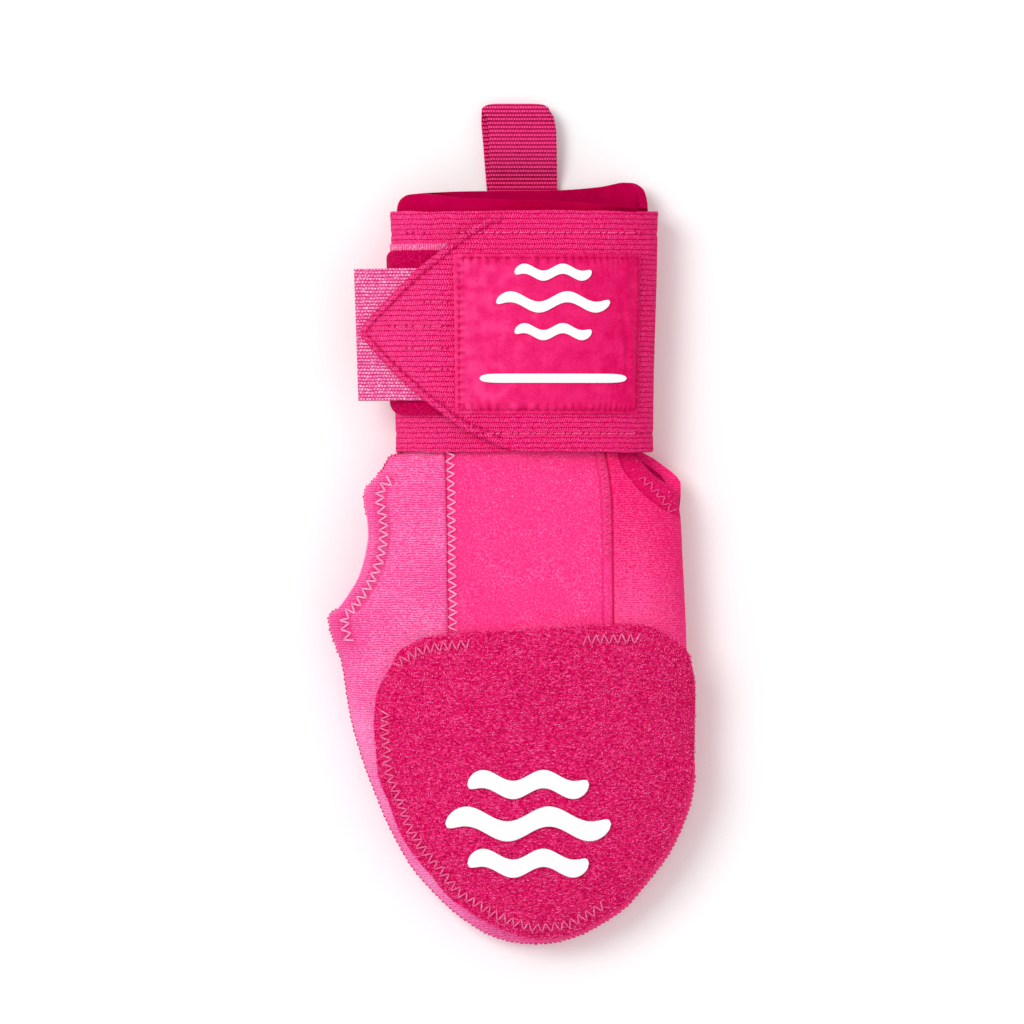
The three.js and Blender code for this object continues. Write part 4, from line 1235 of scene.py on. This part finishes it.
class MITT_OT_pad(bpy.types.Operator):
    """Builds the looped terry finger pad"""
    bl_idname = "mitt.pad"
    bl_label = "Finger pad"

    def execute(self, context):
        rows, across = ease(90), ease(110)
        outer = pad_grid(rows, across, PAD_CLEARANCE + PAD_THICKNESS)
        inner = pad_grid(rows, across, PAD_CLEARANCE)
        pad = closed_sheet("finger_pad_terry", outer, inner, material("terry"), rim=1.4)
        stand_for(pad, "finger_pad")

        cover = outer.copy()
        for edge in (np.s_[0], np.s_[-1], np.s_[:, 0], np.s_[:, -1]):
            cover[edge] = mix(inner[edge], outer[edge], 0.3)
        wide = len(across)
        cells = [(i * wide + j + 1, i * wide + j, (i + 1) * wide + j, (i + 1) * wide + j + 1)
                 for i in range(len(rows) - 1) for j in range(wide - 1)]
        loops = build("finger_pad_loops", cover.reshape(-1, 3), cells, material("terry_loops"))
        tuft = tuft_object()
        grow_with(tuft_tree(), loops, {
            "Tuft": tuft, "Density": TUFT_DENSITY, "Spacing": context.scene.mitt.tuft_spacing,
            "Seed": context.scene.mitt.tuft_seed, "Material": material("terry_loops"),
        })
        bpy.data.meshes.remove(tuft.data)
        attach(loops, "root")
        return {"FINISHED"}


class MITT_OT_cuff(bpy.types.Operator):
    """Builds the cuff with its slanted mouth"""
    bl_idname = "mitt.cuff"
    bl_label = "Cuff"

    def execute(self, context):
        turns = np.arange(0, 360, 3.0)
        under = np.maximum(0, -np.sin(np.radians(turns))) ** 0.5
        top = STRAP_HIGH_Y + CLEARANCE

        def grid(grow):
            rows = []
            for y in (STRAP_LOW_Y + TUCK + CLEARANCE, STRAP_HIGH_Y - MOUTH_BEND):
                x, z = ring(turns, grow, y)
                rows.append(np.column_stack([x, np.full(len(turns), y), z]))
            x, z = ring(turns, grow, top)
            for level in np.linspace(0, 1, 9):
                rise = read(MOUTH, turns) * MOUTH_RISE * level
                ripple = 0.35 * np.sin(np.radians(turns * 9)) + 0.2 * np.sin(np.radians(turns * 5 + 40))
                gather = MOUTH_GATHER * (0.25 * level + 0.75 * level ** 4) * np.clip(-x / 10, 0, 1)
                lift = MOUTH_LIFT * np.maximum(level, under) + level * ripple
                rows.append(np.column_stack([x + gather, top + rise, z + lift]))
            return np.stack(rows)

        cuff = closed_sheet("cuff_lining_cloth", grid(0.0), grid(-WALL), material("cuff_lining"),
                            wraps=True, rim=1.1)
        stand_for(cuff, "cuff")
        return {"FINISHED"}


def band_sheet(name, turns, outs, grow, thickness, low, high, columns, look, rim=0.0, end_side=0.0,
               relief=None, dark=None):
    """A band with its edges given as shares of the strap's width; relief shapes its outer face, and dark
    gives that face the stored value its material paints as shade.
    """
    shares = np.linspace(0, 1, columns + 1)
    heights = [STRAP_LOW_Y + mix(low, high, j) * STRAP_WIDTH + 0 * turns for j in shares]

    def grid(extra, bumps):
        result = []
        for j, y, bump in zip(shares, heights, bumps):
            x, z = band(turns, outs, grow + extra + bump, y, end_side(j) if callable(end_side) else end_side)
            result.append(np.column_stack([x, y, z]))
        return np.stack(result, axis=1)

    flat = [0.0] * len(shares)
    bumps = [relief(turns, y, j) for j, y in zip(shares, heights)] if relief else flat
    shade_by = np.stack([dark(turns, y, j) for j, y in zip(shares, heights)], axis=1) if dark else None
    return closed_sheet(name, grid(thickness, bumps), grid(0.0, flat), material(look),
                        rim=rim, shade_by=shade_by)


class MITT_OT_strap(bpy.types.Operator):
    """Builds the elastic strap, its pile patch and its hook tab"""
    bl_idname = "mitt.strap"
    bl_label = "Wrist strap"

    def execute(self, context):
        back = stations(STRAP_START, STRAP_FRONT - 1, 4.0)
        front = stations(STRAP_FRONT, STRAP_LEAVE, 0.8, 60)
        turns, outs = np.concatenate([back, front], axis=1)
        x, z = band(turns, outs, strap_grow(turns), STRAP_LOW_Y + STRAP_WIDTH / 2, STRAP_END_SIDE)
        over = turns >= STRAP_OVER
        low = np.where(over, read(STRAP_POINT, x / HALF_WIDTH, 1), 0.0)
        high = np.where(over, read(STRAP_POINT, x / HALF_WIDTH, 2), 1.0)
        wave = 0.0022 * np.sin(turns * 0.09) + 0.0012 * np.sin(turns * 0.23)
        low, high = low + wave * (low < 0.01), high + wave * (high > 0.99)
        pointed = np.clip((-0.02 - x / HALF_WIDTH) * 12, 0, 1) * over

        def edge_distance(j):
            return min(j, 1 - j) * (high - low) * STRAP_WIDTH

        def relief(turns, y, j):
            side = edge_distance(j)
            rows = sum(bell(y - at, 0.75) for at in STRAP_ROWS) * (1 - pointed)
            rows = rows + sum(bell(y - at, 0.7) for at in POINT_ROWS) * pointed * (side > 3.5)
            lumps = np.sin(x * 2.9 + 2 * np.sin(y * 0.9)) * (0.6 + 0.4 * np.sin(x * 1.1))
            fold = (0.35 + 0.3 * lumps) * bell(side - 1.6, 1.5) - 0.25 * bell(side - 3.7, 0.7)
            slack = 0.25 * np.sin(turns * 0.11 + y * 0.05) * math.sin(j * math.pi)
            return 0.2 * bell(side - 1.2, 0.9) + slack + pointed * fold - rows * 0.3

        # Distance from the edge of the pointed end, stored on the mesh; the material paints the fold's light
        # and the groove's and cut edge's shade from it
        def shown_edge(turns, y, j):
            return np.where(pointed > 0.3, edge_distance(j) / EDGE_REACH, 1.0)

        strap = band_sheet("wrist_strap_elastic", turns, outs, strap_grow(turns), STRAP_THICKNESS, low, high,
                           130, "knitted_elastic", 0.0, STRAP_END_SIDE, relief, shown_edge)
        stand_for(strap, "wrist_strap")
        length = float(travel(np.column_stack([x, z]))[-1])

        start, stop, bottom, top = PATCH_PLACE
        turns, outs = stations(start, stop, 0.75)
        grow = CLEARANCE + STRAP_LAYER
        reach = band(turns, outs, grow, STRAP_LOW_Y + STRAP_WIDTH / 2, 0.0)[0]
        turned = np.arange(len(reach)) > int(np.argmin(reach))
        inward = np.where(turned, 0.0, reach - reach.min())

        def corner(radius):
            """How far a rounded corner draws the edge in, as a share of the strap's width."""
            left = radius - np.minimum(inward, radius)
            return (radius - np.sqrt(np.maximum(0, radius ** 2 - left ** 2))) / STRAP_WIDTH

        patch = band_sheet("strap_loop_patch_pile", turns, outs, grow, PATCH_THICKNESS, bottom + corner(4.5),
                           top - corner(2.6), 50, "loop_pile", 0.7)
        stand_for(patch, "strap_loop_patch")

        turns, outs = stations(110.0, 171.0, 1.5)
        selvedge = band_sheet("patch_selvedge", turns, outs, grow - 0.1, 0.8, 0.832, 0.865, 8,
                              "selvedge", 0.15)
        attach(selvedge, "root")

        start, stop, bottom, top = TAB_PLACE
        turns, outs = stations(start, stop, 2.0, 30)
        grow = CLEARANCE + STRAP_LAYER + PATCH_THICKNESS + CLEARANCE
        tab = band_sheet("strap_hook_tab_tape", turns, outs, grow, TAB_THICKNESS, bottom, top, 40,
                         "hook_tape", 0.2, lambda j: TAB_END_SIDE + 0.024 * (1 - j))
        stand_for(tab, "strap_hook_tab")
        return {"FINISHED"}


def label_edges(turns, j):
    """Share along the label, then how far a place is from its ends and from its long edges."""
    side = (turns - LABEL_PLACE[0]) / (LABEL_PLACE[1] - LABEL_PLACE[0])
    return side, np.minimum(side, 1 - side) * LABEL_LENGTH, min(j, 1 - j) * 59.0


def label_relief(turns, y, j):
    """Puckers of the sewn label, in millimetres."""
    side, x_near, y_near = label_edges(turns, j)
    sewn = np.minimum(x_near, y_near)
    gather_x = np.sin(y * 2.1 + 2 * np.sin(y * 0.37)) * np.exp(-x_near / 4.0)
    gather_y = np.sin(side * 130 + 2 * np.sin(side * 21)) * np.exp(-y_near / 4.5)
    folds = 0.4 * bell(side - 0.13, 0.1) * np.sin(side * 66 + math.sin(j * 5) * 2.5) * math.sin(j * math.pi)
    slants = 0.22 * bell(j - 0.9, 0.13) * np.sin(side * 44 + j * 9)
    slants = slants + 0.18 * bell(side - 0.9, 0.12) * np.sin(side * 70 - j * 14)
    swell = 0.7 * (1 - np.exp(-sewn * 0.35))
    groove = 0.45 * bell(sewn - 1.3, 0.7)
    return np.maximum(-0.3, swell + 0.24 * (gather_x + gather_y) + folds + slants - groove - 0.15)


def label_shade(turns, y, j):
    """Darker dents under the label's border stitches."""
    side, x_near, y_near = label_edges(turns, j)
    sewn = np.minimum(x_near, y_near)
    run = np.where(x_near < y_near, y, side * LABEL_LENGTH)
    dents = np.clip(2 * np.sin(run * 2 * math.pi / 2.7), 0, 1)
    uneven = 0.75 + 0.25 * np.sin(y * 1.3 + side * 41)
    return uneven * (bell(sewn - 1.5, 0.6) * (0.3 + 0.7 * dents) + 0.7 * bell(sewn - 2.8, 1.2) * dents)


class MITT_OT_label(bpy.types.Operator):
    """Builds the satin panel on the strap"""
    bl_idname = "mitt.label"
    bl_label = "Label"

    def execute(self, context):
        start, stop, bottom, top = LABEL_PLACE
        turns, outs = stations(start, stop, 0.5)
        grow = strap_grow(turns) + STRAP_THICKNESS + CLEARANCE
        label = band_sheet("strap_label_satin", turns, outs, grow, LABEL_THICKNESS, bottom, top, 130, "satin",
                           0.3, relief=label_relief, dark=label_shade)
        stand_for(label, "strap_label")
        return {"FINISHED"}


def loop_spine(count):
    """Smooth centre line of the webbing: Y and Z in millimetres, and the share of the way."""
    start = STRAP_HIGH_Y + 2 * CLEARANCE
    length = MITT_LENGTH / 2 - WEBBING_THICKNESS / 2 - start
    y = start + LOOP_PATH[:, 0] * length
    z = WEBBING_THICKNESS / 2 + CLEARANCE + (LOOP_PATH[:, 1] - LOOP_PATH[0, 1]) * LOOP_OPENING
    run = travel(np.column_stack([y, z]))
    at = np.linspace(0, run[-1], count)
    table = np.column_stack([run, y, z])
    return read(table, at, 1), read(table, at, 2), at / run[-1]


class MITT_OT_pull_loop(bpy.types.Operator):
    """Builds the folded webbing loop"""
    bl_idname = "mitt.pull_loop"
    bl_label = "Pull loop"

    def execute(self, context):
        y, z, share = loop_spine(260)
        dy, dz = directions(np.column_stack([y, z])).T
        ribs = 0.12 * np.sin(share * 84.0 * 2 * math.pi / WEBBING_RIB)
        tip = np.clip((y - y.max() + 9) / 9, 0, 1)

        def grid(offset, sign):
            rows = []
            for part in np.linspace(0, 1, 41):
                inset = min(part, 1 - part)
                reach = offset + sign * (ribs - 0.25 * np.exp(-inset * 30))
                drop = 1.6 * np.exp(-inset * 16) * tip
                x = read(LOOP_SIDE, share) + part * WEBBING_WIDTH
                rows.append(np.column_stack([x, y + dz * reach - drop, z - dy * reach]))
            return np.stack(rows, axis=1)

        half = WEBBING_THICKNESS / 2
        loop = closed_sheet("pull_loop_webbing", grid(half, 1), grid(-half, -1), material("webbing"),
                            rim=0.25)
        stand_for(loop, "pull_loop")
        return {"FINISHED"}


# Heights that the motifs and the stitches lie on

def pad_top_height(x, y, extra=0.0):
    return top_of_ply(x, y, PAD_CLEARANCE + PAD_THICKNESS) + extra


def label_height(x, y, extra=0.1):
    return band_height(x, y, STRAP_THICKNESS + CLEARANCE + LABEL_THICKNESS + extra)


def upper_height(x, y):
    along = (STRAP_LOW_Y - y) / POCKET_LENGTH
    return ply_points(along, share_across(x, along), "upper", 0.0, True)[..., 2]


def strap_height(x, y):
    return band_height(x, y, STRAP_THICKNESS)


def motif_sheet(bar, height, extra):
    """One raised bar, straight or in waves, on a surface."""
    name, side, along, length, width, waves = bar
    u = np.linspace(-1, 1, 91)
    x = (side + u * length / 2) * HALF_WIDTH
    swing = np.sin(u * math.pi * 2) * waves * WAVE_SHARE * HALF_WIDTH * length
    half = width * HALF_WIDTH * np.sqrt(np.maximum(0, 1 - np.abs(u) ** 12)) / 2
    middle = STRAP_LOW_Y - along * POCKET_LENGTH + swing

    def grid(lift):
        rows = []
        for part in np.linspace(-1, 1, 7):
            y = middle + part * half
            rows.append(np.column_stack([x, y, height(x, y, extra) + lift]))
        return np.stack(rows, axis=1)

    made = closed_sheet(f"{name}_rubber", grid(CLEARANCE + MOTIF_HEIGHT), grid(CLEARANCE - 0.2),
                        material("white_rubber"), rim=0.35)
    stand_for(made, name)


class MITT_OT_motifs(bpy.types.Operator):
    """Builds the raised white bars on the pad and the label"""
    bl_idname = "mitt.motifs"
    bl_label = "Motifs"

    def execute(self, context):
        for bar in PAD_BARS:
            motif_sheet(bar, pad_top_height, 0.25)
        for bar in LABEL_BARS:
            motif_sheet(bar, label_height, 0.35)
        return {"FINISHED"}


def down_path(along, across):
    """A path in plan from places along the pocket and across it in millimetres."""
    return np.column_stack([across, STRAP_LOW_Y - along * POCKET_LENGTH])


def side_path(along, sign, height):
    """The mitt's edge at the thumb side, -1, or the little-finger side, 1."""
    middle, half, y = section(along, "upper", 0.0)
    return np.column_stack([middle + sign * half, y, height])


class MITT_OT_stitches(bpy.types.Operator):
    """Sews the seams, hems, pad border and strap rows"""
    bl_idname = "mitt.stitches"
    bl_label = "Stitches"

    def execute(self, context):
        settings = context.scene.mitt
        radius = settings.thread_radius * 1000
        self.seams(radius, settings.zigzag_pitch * 1000, settings.zigzag_width * 1000)
        self.pad_border(radius)
        self.rims(radius)
        self.seam_lines(radius)
        self.opening_edge(radius)
        self.strap_rows(radius, settings.row_pitch * 1000)
        return {"FINISHED"}

    def seams(self, radius, pitch, width):
        """Zigzags over the two seams and both openings' hems."""
        along = np.linspace(0.0, 0.362, 90)
        left, right = [down_path(along, read(SEAMS, along, side) * HALF_WIDTH + off)
                       for side, off in ((1, 1.7), (2, -1.9))]
        along = np.linspace(0.055, 0.385, 90)
        thumb = down_path(along, -read(PLAN, along, LEFT) * HALF_WIDTH + 5.6)
        along = np.linspace(0.05, 0.122, 24)
        hem = down_path(along, mix(read(PLAN, along, PANEL), read(PLAN, along, HEM), 0.45) * HALF_WIDTH)
        threads("seam_zigzags", [zigzag(left, upper_height, pitch, width, 0.4),
                                 zigzag(thumb, upper_height, pitch, width * 1.05, 0.35)],
                radius * 1.85, "pale_thread")
        threads("seam_zigzags_right", [zigzag(right[:52], upper_height, pitch, width * 0.85, 0.4),
                                       zigzag(hem, upper_height, pitch, width * 0.85, 0.0, 0.9)],
                radius * 1.15, "rose_thread")

    def pad_border(self, radius, inset=4.0):
        """Zigzags round the finger pad, with a gap in the middle of its top edge."""
        top = PAD_CLEARANCE + PAD_THICKNESS
        sides = pad_grid(np.linspace(0.06, 0.985, 160), np.array([0.0, 1.0]), top)
        end = pad_grid(np.array([0.0, 0.997]), np.linspace(0.05, 0.95, 30), top)[-1]
        edge = even(np.concatenate([sides[:, 0, :2], end[:, :2], sides[::-1, 1, :2][:14]]), 1.0)[0]
        dx, dy = directions(edge).T
        inward = np.column_stack([-dy, dx])
        near, far = [pad_grid(np.array([0.0, 1.0]), np.linspace(*part), top)[0, :, :2]
                     for part in ((0.06, 0.3, 24), (0.66, 0.84, 20))]
        paths = [edge + inward * inset, near[::-1] - (0, inset), far - (0, inset + 1)]
        borders = [zigzag(path, pad_top_height, 3.3, 3.6, 0.9, 0.1) for path in paths]
        threads("pad_border_zigzag", borders, radius * 1.5, "pad_thread")

    def rims(self, radius):
        """Overlock round the fingers, and its lumps above and below the thumb opening."""
        tip = 1 - 0.1 * np.linspace(1, 0.02, 60) ** 2
        for name, start, count, sign in (("rim_stitches", 0.405, 150, -1),
                                         ("rim_stitches_right", 0.66, 80, 1)):
            along = np.concatenate([np.linspace(start, 0.9, count), tip])
            rim = side_path(along, sign, read(PROFILE, along, SEAM) * POCKET_HEIGHT)
            threads(name, edge_loops(rim, 1.75, 0.45), radius * 1.5, "jersey_thread")
        lumps = []
        for start, stop in ((0.0, 0.125), (0.322, 0.405)):
            along = np.linspace(start, stop, 60)
            height = ply_height(along, np.full(len(along), -1.0), "upper", 0.0)
            lumps += edge_loops(side_path(along, -1, height), 1.35, 0.8)
        threads("rim_stitches_thumb", lumps, radius * 2.0, "jersey_thread")

    def seam_lines(self, radius):
        """A dark thread in each of the two seams: painted shade standing in for the gap between the panels.
        """
        along = np.linspace(0.0, 0.36, 100)
        lines = [on_surface(down_path(along, read(SEAMS, along, side) * HALF_WIDTH), upper_height, 0.12)
                 for side in (1, 2)]
        threads("seam_lines", lines, radius * 0.6, "deep_thread", 4)

    def opening_edge(self, radius):
        """Overlock loops round the thumb opening's edges."""
        along = np.linspace(0.045, 0.41, 190)
        lines = []
        for ply, sign in (("upper", 1), ("lower", -1)):
            points = ply_points(along, np.full(len(along), -1.0), ply, 0.0)
            for k, point in enumerate(points[:-1]):
                lean = 0.15 * math.sin(k * 1.7)
                lines.append(point + np.array([(1.9, 0.3 + lean, sign * 2.6), (-0.15, 0.1, sign * 0.9),
                                               (-0.25, -0.2, sign * -0.15), (0.9, -0.4, sign * -0.3)]))
        threads("opening_overlock", lines, radius * 0.95, "pale_thread", 4)

    def strap_rows(self, radius, row_pitch):
        """Stitches between the strap's holes, along its pointed end and round the label."""
        lines = []
        for y, low, high in HOLE_ROWS[1:]:
            for x in np.arange(math.ceil(low / HOLE_PITCH) * HOLE_PITCH, high - 6.0, HOLE_PITCH):
                for a, b in ((0.3, 1.9), (2.5, 6.2)):
                    places = [(x + a, y - 0.25), (x + a + 0.4, y), (x + b - 0.4, y), (x + b, y + 0.25)]
                    lines.append(on_surface(places, strap_height, np.array([-0.3, 0.08, 0.08, -0.3])))
        threads("strap_stitches", lines, radius * 1.3, "rose_thread", 4)
        lines = []
        side = np.linspace(-0.79, -0.05, 40)
        for column, inset in ((1, 2.3), (2, -2.3)):
            y = STRAP_LOW_Y + read(STRAP_POINT, side, column) * STRAP_WIDTH + inset
            path = np.column_stack([side * HALF_WIDTH, y])
            lines += dashes(path, strap_height, row_pitch * 0.9, 0.7, 0.14, 0.2)
        bottom = STRAP_LOW_Y + LABEL_PLACE[2] * STRAP_WIDTH + 1.2
        top = STRAP_LOW_Y + LABEL_PLACE[3] * STRAP_WIDTH - 1.2
        corners = [(-19.8, bottom), (46.0, bottom), (46.6, top), (-19.6, top), (-19.8, bottom)]
        for path in zip(corners, corners[1:]):
            lines += dashes(path, label_height, row_pitch * 0.85, 0.66, 0.12)
        threads("strap_rows", lines, radius * 0.9, "deep_thread", 4)


class MITT_OT_stage(bpy.types.Operator):
    """Builds the floor, the lights and the camera"""
    bl_idname = "mitt.stage"
    bl_label = "Stage"

    def execute(self, context):
        scene = context.scene
        corners = [(x * FLOOR_REACH, y * FLOOR_REACH, -0.2) for x, y in ((-1, -1), (1, -1), (1, 1), (-1, 1))]
        build("floor", corners, [(0, 1, 2, 3)], material("floor"))
        powers = {"key": scene.mitt.key_power, "fill": scene.mitt.fill_power}
        for name, place, size in LIGHTS:
            data = bpy.data.lights.new(name, "AREA")
            data.energy, data.size = powers[name], size
            light = link_object(name, data)
            light.location = place
            light.rotation_euler = (-light.location).to_track_quat("-Z", "Y").to_euler()
        scene.world = bpy.data.worlds.new("studio")
        scene.world.use_nodes = True
        background = scene.world.node_tree.nodes["Background"]
        background.inputs["Color"].default_value = (1, 1, 1, 1)
        background.inputs["Strength"].default_value = WORLD_STRENGTH
        data = bpy.data.cameras.new("camera")
        data.lens, data.sensor_width = LENS, SENSOR
        camera = link_object("camera", data)
        x, y, z = PICTURE_CENTRE
        camera.location = (x, y, z + PICTURE_WIDTH * LENS / SENSOR)
        scene.camera = camera
        scene.view_settings.view_transform = "Standard"
        scene.view_settings.look = "None"
        return {"FINISHED"}


class MITT_PT_panel(bpy.types.Panel):
    """Buttons for the mitt's pieces"""
    bl_idname = "MITT_PT_panel"
    bl_label = "Sliding mitt"
    bl_space_type = "VIEW_3D"
    bl_region_type = "UI"
    bl_category = "Mitt"

    def draw(self, context):
        settings = context.scene.mitt
        for name in settings.bl_rna.properties.keys():
            if name not in ("rna_type", "name"):
                self.layout.prop(settings, name)
        for step in STEPS:
            self.layout.operator(step.bl_idname)


STEPS = (MITT_OT_body, MITT_OT_pad, MITT_OT_cuff, MITT_OT_strap, MITT_OT_label, MITT_OT_pull_loop,
         MITT_OT_motifs, MITT_OT_stitches, MITT_OT_stage)


def register():
    for part in (MittSettings, *STEPS, MITT_PT_panel):
        bpy.utils.register_class(part)
    bpy.types.Scene.mitt = PointerProperty(type=MittSettings)


def unregister():
    del bpy.types.Scene.mitt
    for part in reversed((MittSettings, *STEPS, MITT_PT_panel)):
        bpy.utils.unregister_class(part)


def main():
    register()
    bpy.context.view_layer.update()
    bpy.ops.mitt.body()
    bpy.ops.mitt.pad()
    bpy.ops.mitt.cuff()
    bpy.ops.mitt.strap()
    bpy.ops.mitt.label()
    bpy.ops.mitt.pull_loop()
    bpy.ops.mitt.motifs()
    bpy.ops.mitt.stitches()
    bpy.ops.mitt.stage()


if __name__ == "__main__":
    main()
